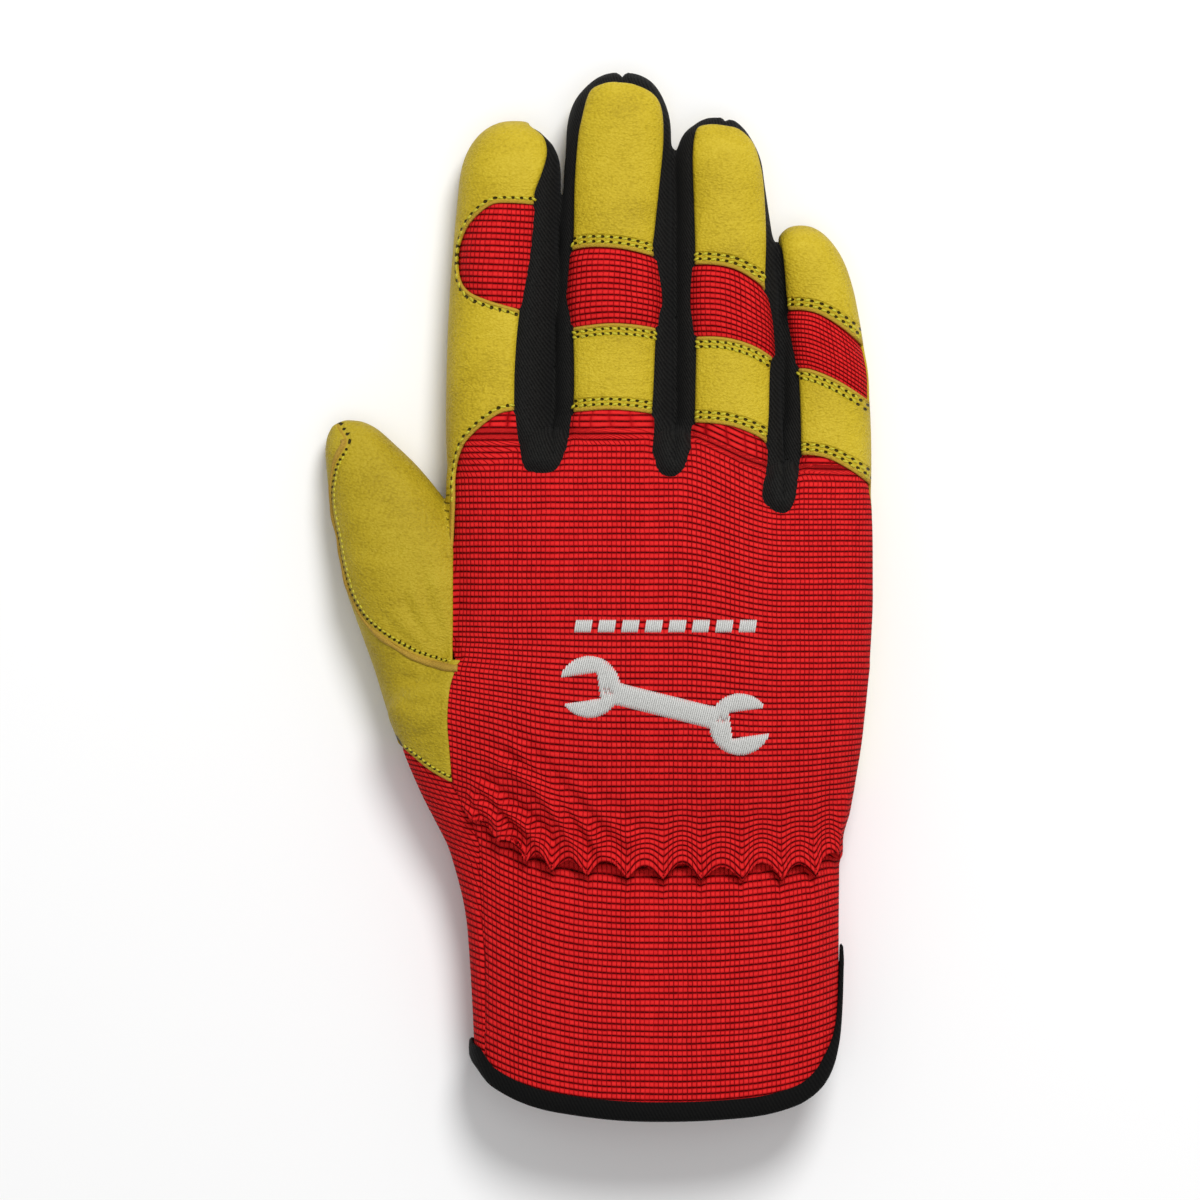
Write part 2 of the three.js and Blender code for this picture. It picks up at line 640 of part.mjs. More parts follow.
// Everything on the thumb side of the back panel's seam: from the index finger's leather, which ends in a
// curve over the knuckle, down the side of the hand and the cuff
const alongHand = (at) => mix(knuckleY, waistY, at);
const indexEnd = tipY(0) + pastTips;
const indexLeft = lineX(0, knuckleY);
const indexHemUp = 10.4;
const bandEnd = wallEdge(0, 'near', knuckleY + indexHemUp);
const pastBand = 12;
const indexHem = [
  { x: bandEnd + pastBand, up: indexHemUp },
  { x: bandEnd + 1, up: indexHemUp },
  { x: indexLeft + 11.2, up: 8.6 },
  { x: indexLeft + 6.4, up: 5.4 },
  { x: indexLeft + 3.8, up: 1.4 },
];
const sideSeamFoot = [
  { in: 1.2, drop: 0.3 },
  { in: 0.4, drop: 0.5 },
  { in: 0.2, drop: 2 },
];
const thumbSideOutline = [
  [bandEnd + pastBand, indexEnd],
  ...indexHem.map((row) => [row.x, knuckleY + row.up]),
  ...backSeam.map((row) => [-halfPalm * row.across, alongHand(row.at)]),
  ...sideSeamFoot.map((row) => [-cuffWidth / 2 + row.in, waistY - row.drop * cuffLength]),
  [-farOut, waistY - 2 * cuffLength],
  [-farOut, indexEnd],
];

// Everything beyond the lower edge of the leather: up round the heel of the thumb, then straight across
const leatherOutline = [
  [-farOut, alongHand(0.55)],
  [-thenarReach, alongHand(0.68)],
  [-thenarReach * 0.86, alongHand(0.76)],
  [-halfPalm * 0.965, wristSeamY],
  [farOut, wristSeamY],
  [farOut, farOut],
  [-farOut, farOut],
];

// D-shaped window in the index finger's leather
const windowHeight = 25.6;
const windowWidth = 19.5;
const windowFoot = 33.6;
const windowSteps = 8;
const windowBulge = 0.65;     // part of the width that is rounded
const windowMiddle = knuckleY + windowFoot + windowHeight / 2;
const windowEnd = wallEdge(0, 'far', knuckleY);
const windowOutline = [
  [windowEnd, windowMiddle + windowHeight / 2 - 0.5],
  ...Array.from({ length: windowSteps + 1 }, (_, k) => {
    const angle = Math.PI * (0.5 + k / windowSteps);
    const y = windowMiddle + (windowHeight / 2) * Math.sin(angle);
    const round = power(Math.cos(angle), 0.8);
    return [wallEdge(0, 'near', y) - windowWidth * (1 - windowBulge - windowBulge * round), y];
  }),
  [windowEnd, windowMiddle - windowHeight / 2 - 0.5],
];

// The thumb's back piece in plan: inside its seam, and out past the thumb towards the fingers, in shares
// of the thumb's width and length
const thumbBackCorners = [
  { across: 1.4, at: 0.05 },
  { across: 1.4, at: 1.1 },
];
const thumbBackOutline = [
  ...thumbSeam.map((row) => {
    const half = thumb.width * readTable(thumbSections, 'at', row.at, 'half');
    const centre = thumb.width * readTable(thumbSections, 'at', row.at, 'shift');
    return fromThumb([centre + half * row.across, thumbLength * row.at]);
  }),
  ...thumbBackCorners.map((row) => fromThumb([thumb.width * row.across, thumbLength * row.at])),
];

// Leather that wraps the heel of the thumb up to the back panel, which belongs to the thumb's front piece
const heelOutline = [
  ...leatherOutline.slice(0, 4),
  [-halfPalm * 0.9, alongHand(0.36)],
  [-farOut, alongHand(0.06)],
];

// Pieces
const leatherColour = '#cfae1f';
const ribColour = '#d81f24';
const blackColour = '#141417';
const leather = () => new THREE.MeshStandardMaterial({ color: leatherColour, roughness: 0.62, metalness: 0 });
const ribFabric = () => new THREE.MeshStandardMaterial({ color: ribColour, roughness: 0.85, metalness: 0 });
const blackStretch = () => new THREE.MeshStandardMaterial({ color: blackColour, roughness: 0.9, metalness: 0 });

const glove = new THREE.Group();
function addPiece(name, solid, material) {
  const { vertProperties, triVerts } = biggest(solid).getMesh();
  const geometry = new THREE.BufferGeometry();
  geometry.setAttribute('position', new THREE.BufferAttribute(Float32Array.from(vertProperties), 3));
  geometry.setIndex(new THREE.BufferAttribute(Uint32Array.from(triVerts), 1));
  geometry.computeVertexNormals();
  const mesh = new THREE.Mesh(geometry, material);
  mesh.name = name;
  glove.add(mesh);
}

const upper = aboveZ(palmSeamZ + halfGap);
const lower = belowZ(palmSeamZ - halfGap);
const thumbSide = prism(grown(thumbSideOutline, -halfGap));
const leatherSide = prism(grown(leatherOutline, -halfGap));

// Black side walls of the fingers
['fourchette_index_middle', 'fourchette_middle_ring', 'fourchette_ring_little'].forEach((name, i) => {
  addPiece(name, skin.intersect(prism(wallOutlines[i], palmSeamZ + halfGap)), blackStretch());
});

// Leather caps, red inserts and leather bands on the backs of three fingers
const fingerBacks = withoutWalls(skin.intersect(upper));
for (const i of [1, 2, 3]) {
  const { name, cap, insert, band } = fingers[i];
  addPiece(`${name}_tip_leather`, fingerBacks.intersect(fingerRegion(i, cap)), leather());
  addPiece(`${name}_insert`, fingerBacks.intersect(fingerRegion(i, insert, cap)), ribFabric());
  addPiece(`${name}_band_leather`, fingerBacks.intersect(fingerRegion(i, band, insert)), leather());
}

// Thumb. Its room is a little larger than the zone of its own leather, and is kept clear of the others.
const handAndFingers = joined([handLoft(-seamGap), ...everyFinger.map((i) => fingerLoft(i, -seamGap))]);
const thumbZone = thumbLoft(-seamGap).subtract(handAndFingers);
const thumbRoom = thumbLoft(-2 * seamGap).subtract(handLoft(0).add(fingerLoft(0, 0)));
const thumbBack = prism(grown(thumbBackOutline, -halfGap), palmSeamZ + halfGap);
const thumbBackRoom = prism(grown(thumbBackOutline, halfGap), palmSeamZ - halfGap);
addPiece('thumb_back_leather', skin.intersect(thumbZone).intersect(thumbBack), leather());
const heel = prism(heelOutline, palmSeamZ + halfGap).intersect(thumbSide);
const thumbFront = heel.subtract(thumbBackRoom.intersect(thumbRoom))
  .add(thumbZone.subtract(thumbBackRoom)).intersect(leatherSide);
addPiece('thumb_front_leather', skin.intersect(thumbFront), leather());

// Palm leather, with the part that rolls over the index finger
const rolledIndex = thumbSide
  .intersect(prism([[-farOut, alongHand(0.5)], [0, alongHand(0.5)], [0, indexEnd], [-farOut, indexEnd]]))
  .subtract(prism(grown(heelOutline, seamGap), palmSeamZ - halfGap))
  .subtract(prism(grown(windowOutline, seamGap), palmSeamZ - halfGap))
  .subtract(fingerBand(1));
const palmSide = leatherSide.intersect(lower).add(rolledIndex).subtract(thumbRoom);
addPiece('palm_leather', withoutWalls(skin.intersect(palmSide)), leather());
addPiece('index_insert', fingerBacks.intersect(prism(windowOutline)).intersect(fingerBand(0)), ribFabric());

// Red ribbed back, from the bands over the knuckles to the hem
function bandRoom(i) {
  const bottom = crossSeam(i, fingers[i].band, -halfGap);
  const top = tipY(1) + pastTips;
  return prism([...bottom, [bottom[seamSteps][0], top], [bottom[0][0], top]]).intersect(fingerBand(i));
}
const handBack = prism(everywhere.map(([x, y]) => [x, Math.max(y, wristSeamY + halfGap)])).intersect(upper);
const backRegion = handBack.add(aboveZ(cuffSeamZ + halfGap))
  .subtract(prism(grown(thumbSideOutline, halfGap)))
  .subtract(joined([bandRoom(1), bandRoom(2), bandRoom(3)]))
  .subtract(thumbRoom);
addPiece('back_panel', withoutWalls(skin.intersect(backRegion)), ribFabric());

// Palm side of the cuff, with the gusset that reaches up to the heel of the thumb
const cuffRegion = belowZ(cuffSeamZ - halfGap).add(thumbSide).subtract(prism(grown(leatherOutline, halfGap)));
addPiece('cuff_palm_panel', skin.intersect(cuffRegion), ribFabric());

// Hem binding, folded over the edge of the cuff: its profile is carried round the hem
const bindingProfile = [
  { inset: -bindingClearance, distance: bindingLeg },
  { inset: -bindingClearance, distance: bindingWidth },
  { inset: -fold, distance: bindingWidth },
  { inset: -fold, distance: 0 },
  { inset: wall + fold, distance: 0 },
  { inset: wall + fold, distance: bindingWidth },
  { inset: wall + bindingClearance, distance: bindingWidth },
  { inset: wall + bindingClearance, distance: bindingLeg },
];
const bindingRings = hemAngles.map((angle) => (
  bindingProfile.map(({ inset, distance }) => besideHem(angle, distance, inset))
));
addPiece('hem_binding', loft(bindingRings), blackStretch());

export default glove;
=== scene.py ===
import math

import bpy
import numpy as np
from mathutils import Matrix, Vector
from mathutils.bvhtree import BVHTree


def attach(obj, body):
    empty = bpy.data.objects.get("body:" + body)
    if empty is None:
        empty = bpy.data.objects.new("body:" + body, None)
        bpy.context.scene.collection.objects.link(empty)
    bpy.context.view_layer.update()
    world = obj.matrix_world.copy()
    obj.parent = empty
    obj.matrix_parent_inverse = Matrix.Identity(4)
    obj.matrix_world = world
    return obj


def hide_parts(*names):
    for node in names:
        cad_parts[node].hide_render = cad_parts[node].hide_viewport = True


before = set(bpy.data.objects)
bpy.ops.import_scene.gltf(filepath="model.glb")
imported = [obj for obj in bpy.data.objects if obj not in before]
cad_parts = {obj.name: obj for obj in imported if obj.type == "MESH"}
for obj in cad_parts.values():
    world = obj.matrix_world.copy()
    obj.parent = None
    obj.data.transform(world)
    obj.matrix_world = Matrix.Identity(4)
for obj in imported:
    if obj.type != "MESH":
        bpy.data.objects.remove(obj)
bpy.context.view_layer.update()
MM = 0.001

# Seams in plan, from the thumb side to the little finger side or from the tips down


WALL_LEFT = (
    [(-30.5, 124.3), (-27.4, 121.7), (-26.3, 118.6), (-26.4, 115.7), (-27.6, 111.8), (-29.3, 107.3),
     (-29.5, 104.9), (-30.7, 92.6), (-31.7, 86.6), (-33.1, 78.2), (-34.1, 67.2), (-34.3, 55.2), (-33.8, 49.0),
     (-32.6, 41.8)],
    [(-9.1, 134.9), (-5.0, 133.9), (-0.7, 131.5), (1.4, 127.2), (1.7, 119.3), (0.7, 108.7), (-0.5, 97.9),
     (-0.8, 93.4), (1.0, 81.8), (0.0, 76.6), (-0.8, 59.8), (-1.7, 45.1)],
    [(15.8, 124.6), (19.7, 123.4), (23.2, 119.9), (25.0, 114.6), (25.9, 108.7), (26.4, 97.2), (26.1, 85.4),
     (26.6, 82.1), (27.6, 77.0), (28.3, 68.6), (27.3, 65.3), (26.9, 52.8), (25.9, 41.8)],
)
WALL_FOOT = (
    [(-31.2, 40.6), (-28.3, 40.2), (-25.4, 40.7)],
    [(-0.4, 40.6), (2.8, 39.1), (5.6, 41.3)],
    [(24.7, 35.0), (26.0, 32.2), (29.5, 30.7), (31.9, 33.4)],
)
WALL_RIGHT = (
    [(-24.0, 42.7), (-22.3, 48.0), (-21.5, 59.8), (-21.8, 74.9), (-23.0, 81.8), (-22.8, 85.0), (-22.1, 93.4),
     (-21.6, 97.2), (-21.4, 109.4), (-20.6, 120.0), (-19.7, 125.1), (-17.6, 132.2), (-13.4, 134.6),
     (-9.1, 134.9)],
    [(7.2, 46.1), (7.6, 59.0), (7.8, 72.7), (6.9, 80.4), (7.1, 85.7), (7.6, 93.4), (7.3, 104.9), (7.0, 115.9),
     (7.6, 121.9), (8.9, 124.1), (12.0, 124.8), (15.8, 124.6)],
    [(33.1, 41.8), (33.0, 51.4), (32.8, 58.3), (32.3, 65.3), (31.2, 71.3), (30.2, 76.8), (29.6, 82.1),
     (28.7, 92.4), (27.4, 98.4)],
)
WINDOW = [(-29.3, 104.3), (-35.9, 104.7), (-40.1, 104.4), (-43.7, 101.9), (-46.5, 98.4), (-48.2, 93.1),
          (-47.9, 87.1), (-45.8, 83.6), (-41.5, 81.5), (-37.3, 80.2), (-33.1, 79.0)]
CAP = {
    1: [(-21.8, 93.4), (-16.6, 94.1), (-8.9, 93.6), (-0.7, 91.7)],
    2: [(7.7, 90.0), (12.7, 89.9), (18.0, 88.8), (23.0, 85.9), (26.8, 82.6)],
    3: [(30.0, 79.3), (35.3, 79.0), (39.4, 77.6), (44.4, 74.3), (48.7, 70.6)],
}
BAND_TOP = {
    1: [(-21.8, 74.8), (-12.7, 75.8), (-6.0, 75.5), (0.0, 74.6)],
    2: [(7.9, 72.7), (13.2, 72.7), (18.0, 72.0), (23.3, 70.1), (27.8, 67.3)],
    3: [(32.2, 65.3), (36.0, 65.0), (41.0, 63.1), (45.4, 60.7), (49.4, 58.1)],
}
BAND_FOOT = {
    1: [(-21.8, 54.5), (-12.7, 55.1), (-6.0, 54.7), (-1.0, 54.0)],
    2: [(7.7, 52.1), (13.2, 51.8), (18.0, 50.9), (22.8, 49.0), (26.8, 46.3)],
    3: [(33.4, 44.4), (37.2, 44.2), (41.0, 43.2), (45.8, 40.6), (50.4, 37.4)],
}
INDEX_HEM = [(-34.3, 55.1), (-38.4, 54.2), (-42.0, 51.8), (-45.1, 49.0), (-47.0, 46.6), (-48.4, 42.7),
             (-49.0, 38.4), (-49.0, 33.6), (-49.3, 26.4), (-49.6, 19.2), (-49.3, 9.6), (-48.7, 0.0),
             (-47.3, -4.8)]
HAND_EDGE = [(-47.3, -4.8), (-48.7, -7.7), (-49.9, -12.0), (-50.4, -19.2), (-49.9, -26.4), (-49.2, -34.3),
             (-48.0, -37.2), (-45.6, -42.7), (-44.2, -46.1), (-43.2, -49.0), (-43.0, -56.6), (-42.3, -70.3),
             (-41.9, -76.5), (-41.8, -93.6)]
THUMB_SEAM = [(-77.6, 51.0), (-75.8, 48.2), (-75.6, 47.1), (-76.2, 45.8), (-77.9, 42.5), (-78.6, 38.4),
              (-78.7, 34.8), (-78.2, 30.0), (-77.0, 24.5), (-76.1, 19.2), (-74.2, 11.8), (-71.0, 5.5),
              (-66.5, 1.0), (-60.4, -2.9), (-55.8, -4.8), (-51.2, -6.0), (-48.1, -6.2)]
HEEL_EDGE = [(-61.9, -25.4), (-58.8, -28.1), (-55.2, -31.0), (-51.6, -33.1), (-49.2, -34.3)]
GATHER_LOWS = [(-44.6, -41.6), (-38.6, -46.6), (-31.7, -51.6), (-25.7, -53.9), (-17.3, -55.0),
               (-8.0, -55.8), (0.7, -56.6), (9.6, -56.6), (19.4, -56.6), (28.7, -56.6), (36.4, -55.8),
               (42.5, -52.0)]

# Form of the hand and cuff: height along the hand, half widths, underside and top

HAND = np.array([
    (50.0, 40.0, 40.0, 11.0, 15.0),
    (49.6, 46.6, 46.9, 6.9, 18.8),
    (48.0, 48.6, 48.9, 2.8, 23.5),
    (44.4, 49.9, 50.2, 0.0, 26.6),
    (38.5, 50.9, 50.9, 0.0, 29.0),
    (28.5, 51.0, 51.1, 0.0, 31.4),
    (14.7, 50.6, 51.1, 0.0, 33.3),
    (-0.2, 52.0, 50.5, 0.0, 34.2),
    (-10.1, 60.9, 49.8, 0.0, 34.5),
    (-18.0, 65.0, 49.1, 0.0, 34.5),
    (-25.5, 63.1, 48.4, 0.0, 34.2),
    (-35.9, 60.1, 47.0, 0.0, 33.1),
    (-44.7, 57.0, 45.8, 0.0, 31.2),
    (-51.9, 53.7, 44.1, 0.0, 30.2),
    (-54.7, 52.3, 44.1, 0.0, 29.4),
    (-57.9, 50.7, 43.2, 0.0, 29.6),
    (-76.9, 46.2, 42.9, 1.2, 30.6),
    (-128.6, 43.5, 43.5, 1.2, 32.0),
])
KNUCKLE_Y = 44.4
WAIST_Y = -54.7
CUFF_LENGTH = 59.9
LITTLE_DROP = 8.4
PALM_SEAM_Z = 9.2
WALL_SEAM_Z = 4.6
THUMB_EDGE_X = -50.0
CUFF_SEAM_Z = 15.0
WRIST_SEAM_Y = -34.3
TOP_FULLNESS = 2.4
LOW_FULLNESS = 3.4
UNDERSIDE_DROP = 1.12
WIDEST = 0.47
FINGER_GAP = 0.9
FINGER_WIDEST = 0.44
NOSE_FULLNESS = 2.3

FINGER_LINES = ((-51.0, -0.01, 0.0008), (-25.6, 0.012, 0.0003), (3.47, 0.0, 0.0), (29.4, 0.012, -0.00085),
                (50.5, 0.0, -0.0025))
FINGERS = (
    {"length": 80.2, "height": 21.0, "nose": 15.0, "shift": 0.0},
    {"length": 92.0, "height": 22.5, "nose": 15.0, "shift": 0.0},
    {"length": 81.4, "height": 21.0, "nose": 13.5, "shift": -0.5},
    {"length": 63.5, "height": 17.5, "nose": 11.0, "shift": -1.5},
)
# Share of a finger's length, with shares of its width and of its height at the underside and the top
TAPER = np.array([(-0.24, 0.7, 0.24, 0.9), (-0.06, 0.97, 0.02, 1.12), (0.1, 1.0, 0.0, 1.1),
                  (0.35, 1.0, 0.0, 1.03), (0.6, 0.985, 0.0, 0.99), (0.8, 0.97, 0.0, 0.95),
                  (1.0, 0.97, 0.0, 0.95)])
THUMB_BASE = np.array((-46.0, -20.0))
THUMB_TIP = np.array((-77.3, 52.5))
THUMB_WIDTH = 32.0
THUMB_HEIGHT = 24.0
# Share of the thumb's length, with shares of its width (half, shift) and height
THUMB = np.array([(-0.12, 0.36, 0.0, 0.8), (0.0, 0.47, -0.05, 0.9), (0.3, 0.5, 0.03, 1.0),
                  (0.5, 0.49, 0.05, 0.98), (0.66, 0.42, 0.06, 0.9), (0.775, 0.345, 0.055, 0.8),
                  (0.87, 0.262, 0.04, 0.68), (0.935, 0.195, 0.03, 0.58), (0.975, 0.125, 0.015, 0.48)])
# Hem round the cuff: angle from the little finger side over the back, and drop as a share of the cuff's
# length
HEM = np.array([(0, 0.4), (4, 0.43), (9, 0.57), (15, 0.71), (22, 0.8), (32, 0.88), (45, 0.94), (66, 0.985),
                (90, 1.0), (120, 0.965), (150, 0.875), (168, 0.79), (185, 0.76), (210, 0.8), (245, 0.87),
                (290, 0.89), (320, 0.87), (334, 0.81), (345, 0.69), (352, 0.55), (356, 0.43), (360, 0.4)])


def mix(a, b, t):
    return a + (b - a) * t


def smooth(t):
    c = np.clip(t, 0.0, 1.0)
    return c * c * (3 - 2 * c)


def power(value, exponent):
    return np.sign(value) * np.abs(value) ** exponent


def through(table, place, column):
    """A smooth curve through one column of a table, without overshoot."""
    xs, ys = table[:, 0], table[:, column]
    if xs[0] > xs[-1]:
        xs, ys = xs[::-1], ys[::-1]
    step = np.diff(xs)
    slope = np.diff(ys) / step
    tangent = np.zeros(len(ys))
    rising = slope[:-1] * slope[1:] > 0
    total = np.where(rising, slope[:-1] + slope[1:], 1.0)
    tangent[1:-1] = np.where(rising, 2 * slope[:-1] * slope[1:] / total, 0.0)
    tangent[0], tangent[-1] = slope[0], slope[-1]
    x = np.clip(place, xs[0], xs[-1])
    k = np.clip(np.searchsorted(xs, x) - 1, 0, len(step) - 1)
    h = step[k]
    t = (x - xs[k]) / h
    start = (1 + 2 * t) * (1 - t) ** 2 * ys[k] + t * (1 - t) ** 2 * h * tangent[k]
    return start + t * t * (3 - 2 * t) * ys[k + 1] + t * t * (t - 1) * h * tangent[k + 1]


def curve(points, per=6):
    """More points on a smooth line through those given."""
    p = np.asarray(points, float)
    ends = np.vstack((2 * p[0] - p[1], p, 2 * p[-1] - p[-2]))
    out = []
    for k in range(len(p) - 1):
        a, b, c, d = ends[k:k + 4]
        for t in np.arange(per) / per:
            out.append(0.5 * (2 * b + (c - a) * t + (2 * a - 5 * b + 4 * c - d) * t * t
                              + (3 * b - a - 3 * c + d) * t ** 3))
    out.append(p[-1])
    return np.array(out)


# Lofts

def section_shape(up, low, top):
    """Fullness of a section, and its reach from the middle up or down."""
    middle = mix(low, top, WIDEST)
    fullness = np.where(up >= 0, TOP_FULLNESS, LOW_FULLNESS)
    return fullness, np.where(up >= 0, top - middle, UNDERSIDE_DROP * (middle - low))


def ring(angles, centre, left, right, low, top):
    c, s = np.cos(angles), np.sin(angles)
    fullness, reach = section_shape(s, low, top)
    x = centre + np.where(c >= 0, right, left) * power(c, 2 / fullness)
    return x, np.maximum(low, mix(low, top, WIDEST) + reach * power(s, 2 / fullness))


def select_only(*pieces):
    bpy.ops.object.select_all(action="DESELECT")
    for piece in pieces:
        piece.select_set(True)
    bpy.context.view_layer.objects.active = pieces[0]


def outward(piece):
    """Turns every face outwards."""
    select_only(piece)
    bpy.ops.object.mode_set(mode="EDIT")
    bpy.ops.mesh.select_all(action="SELECT")
    bpy.ops.mesh.normals_make_consistent(inside=False)
    bpy.ops.object.mode_set(mode="OBJECT")


def new_piece(name, points, faces):
    mesh = bpy.data.meshes.new(name)
    mesh.from_pydata(points, [], faces)
    piece = bpy.data.objects.new(name, mesh)
    bpy.context.collection.objects.link(piece)
    outward(piece)
    return piece


def quads(start, rings, sides, joined=False):
    """Faces between rings of points that follow each other in a list, the last joined to the first or not."""
    faces = []
    for r in range(rings if joined else rings - 1):
        a, b = start + r * sides, start + (r + 1) % rings * sides
        for k in range(sides):
            n = (k + 1) % sides
            faces.append((a + k, a + n, b + n, b + k))
    return faces


def tube(start, rings, sides):
    """The same with a face at both ends."""
    ends = [tuple(start + k for k in reversed(range(sides))),
            tuple(start + (rings - 1) * sides + k for k in range(sides))]
    return quads(start, rings, sides) + ends


def loft(name, rings):
    """A closed surface through rings of points, closed by fans at both ends."""
    sides = len(rings[0])
    points = [tuple(p * MM) for one in rings for p in one]
    points += [tuple(np.mean(one, axis=0) * MM) for one in (rings[0], rings[-1])]
    faces = quads(0, len(rings), sides)
    last = (len(rings) - 1) * sides
    for k in range(sides):
        n = (k + 1) % sides
        faces.append((len(points) - 2, n, k))
        faces.append((len(points) - 1, last + k, last + n))
    return new_piece(name, points, faces)


def hand_section(y):
    """Half widths, underside and top of the hand at a height along it."""
    return [through(HAND, y, column) for column in (1, 2, 3, 4)]


def line_x(k, y):
    at, lean, bend = FINGER_LINES[k]
    up = y - KNUCKLE_Y
    return at + lean * up + bend * np.maximum(0, up) ** 2


def little_skew(x):
    return LITTLE_DROP * smooth((x - line_x(2, KNUCKLE_Y)) / (line_x(3, KNUCKLE_Y) - line_x(2, KNUCKLE_Y)))


def root_y(i):
    return KNUCKLE_Y - (LITTLE_DROP if i == 3 else 0.0)


def waist_lift(angle):
    side = np.cos(angle)
    return np.where(side < 0, 8.0, 4.0) * np.abs(side) ** 2.5


def lift(angle, x, y):
    """How far the fabric's ribs rise at the sides of the hand above their height on its middle."""
    at = (KNUCKLE_Y - y) / (KNUCKLE_Y - WAIST_Y)
    skew = -little_skew(x) * (1 - np.clip(at, 0, 1)) ** 2
    cuff = np.clip((WAIST_Y - y) / CUFF_LENGTH, 0, 1)
    return skew + mix(waist_lift(angle) * smooth(2 * at - 1), 6 * np.abs(np.cos(angle)) ** 2.2, cuff)


TURNS = np.linspace(0, 2 * np.pi, 96, endpoint=False)


# Heights of the hand's sections: close over its rounded front end, then even down to below the hem
HAND_FRONT = (50.0, 49.8, 49.6, 49.2, 48.6, 48.0, 47.0)
HAND_STEPS = np.concatenate((HAND_FRONT, np.arange(46.0, -127.0, -1.5)))


def hand_form():
    rings = []
    for y in HAND_STEPS:
        x, z = ring(TURNS, 0.0, *hand_section(y))
        rings.append(np.column_stack((x, y + lift(TURNS, x, y), z)))
    return loft("hand_form", rings)


def finger_form(i):
    row = FINGERS[i]
    length, nose = row["length"], row["nose"]
    bend_start = 1 - nose / length - 0.1
    plain = np.arange(-0.24, 1 - 1.02 * nose / length, 0.02)
    rounded = 1 - nose / length * (1 - np.cos(np.linspace(np.pi / 2, 0.12, 18)))
    rings = []
    for at in np.concatenate((plain, rounded)):
        y = root_y(i) + at * length
        left = line_x(i, y) + (FINGER_GAP / 2 if i else 0)
        right = line_x(i + 1, y) - (FINGER_GAP / 2 if i < 3 else 0)
        inward = 1 - min(1, (1 - at) * length / nose)
        roundness = max(0.05, max(0, 1 - inward ** NOSE_FULLNESS) ** (1 / NOSE_FULLNESS))
        half = (right - left) / 2 * through(TAPER, at, 1) * roundness
        centre = (left + right) / 2 + row["shift"] * smooth((at - bend_start) / (1 - bend_start))
        top = row["height"] * through(TAPER, at, 3)
        low = row["height"] * through(TAPER, at, 2)
        middle = FINGER_WIDEST * top
        x, z = ring(TURNS[::2], centre, half, half, low + middle * (1 - roundness ** 0.8),
                    middle + (top - middle) * roundness)
        rings.append(np.column_stack((x, np.full(len(x), y), z)))
    return loft("finger_form", rings)


THUMB_ALONG = THUMB_TIP - THUMB_BASE
THUMB_LENGTH = float(np.hypot(*THUMB_ALONG))
THUMB_WAY = THUMB_ALONG / THUMB_LENGTH
THUMB_ACROSS = np.array((THUMB_WAY[1], -THUMB_WAY[0]))


def thumb_section(at):
    half = THUMB_WIDTH * through(THUMB, at, 1)
    centre = THUMB_WIDTH * through(THUMB, at, 2)
    top = THUMB_HEIGHT * through(THUMB, at, 3)
    return half, centre, 0.28 * top * smooth((at - 0.8) / 0.25), top


def thumb_form():
    rings = []
    for at in np.concatenate((np.arange(-0.12, 0.9, 0.02), np.arange(0.9, 0.98, 0.01))):
        half, centre, low, top = thumb_section(at)
        x, z = ring(TURNS[::2], centre, half, half, low, top)
        plan = THUMB_BASE + np.outer(x, THUMB_ACROSS) + THUMB_LENGTH * at * THUMB_WAY
        rings.append(np.column_stack((plan, z)))
    tip = THUMB_TIP - 0.6 * THUMB_WAY
    x, z = ring(TURNS[::2], 0.0, 1.6, 1.6, 6.5, 10.5)
    rings.append(np.column_stack((tip + np.outer(x, THUMB_ACROSS), z)))
    return loft("thumb_form", rings)


def apply_modifier(piece, kind, **settings):
    select_only(piece)
    modifier = piece.modifiers.new(kind.lower(), kind)
    for key, value in settings.items():
        setattr(modifier, key, value)
    bpy.ops.object.modifier_apply(modifier=modifier.name)


# One smooth closed form of the whole glove

VOXEL = 0.785
forms = [hand_form(), thumb_form()] + [finger_form(i) for i in range(4)]
select_only(*forms)
bpy.ops.object.join()
body = bpy.context.view_layer.objects.active
apply_modifier(body, "REMESH", mode="VOXEL", voxel_size=VOXEL * MM)
apply_modifier(body, "SMOOTH", factor=0.5, iterations=4)


def read_mesh(piece):
    """Points in millimetres, normals and triangles."""
    mesh = piece.data
    mesh.calc_loop_triangles()
    points, normals = (np.empty(len(mesh.vertices) * 3, np.float32) for _ in range(2))
    mesh.vertices.foreach_get("co", points)
    mesh.vertices.foreach_get("normal", normals)
    faces = np.empty(len(mesh.loop_triangles) * 3, np.int32)
    mesh.loop_triangles.foreach_get("vertices", faces)
    points, normals = (values.reshape(-1, 3).astype(float) for values in (points, normals))
    return points / MM, normals, faces.reshape(-1, 3)


GATHERED = (WAIST_Y - 5, WAIST_Y + 14)
SIDE_Z = 12


def refine_gathers(piece):
    """Finer faces where the elastic gathers the back."""
    select_only(piece)
    bpy.ops.object.mode_set(mode="EDIT")
    bpy.ops.mesh.select_all(action="DESELECT")
    bpy.ops.object.mode_set(mode="OBJECT")
    low, high = (y * MM for y in GATHERED)
    for face in piece.data.polygons:
        face.select = low < face.center.y < high and face.center.z > SIDE_Z * MM
    bpy.ops.object.mode_set(mode="EDIT")
    bpy.ops.mesh.select_mode(type="FACE")
    bpy.ops.mesh.subdivide(number_cuts=1)
    bpy.ops.object.mode_set(mode="OBJECT")


refine_gathers(body)
Q, plain_normals, skin_faces = read_mesh(body)


# Where a point lies on the hand's fabric

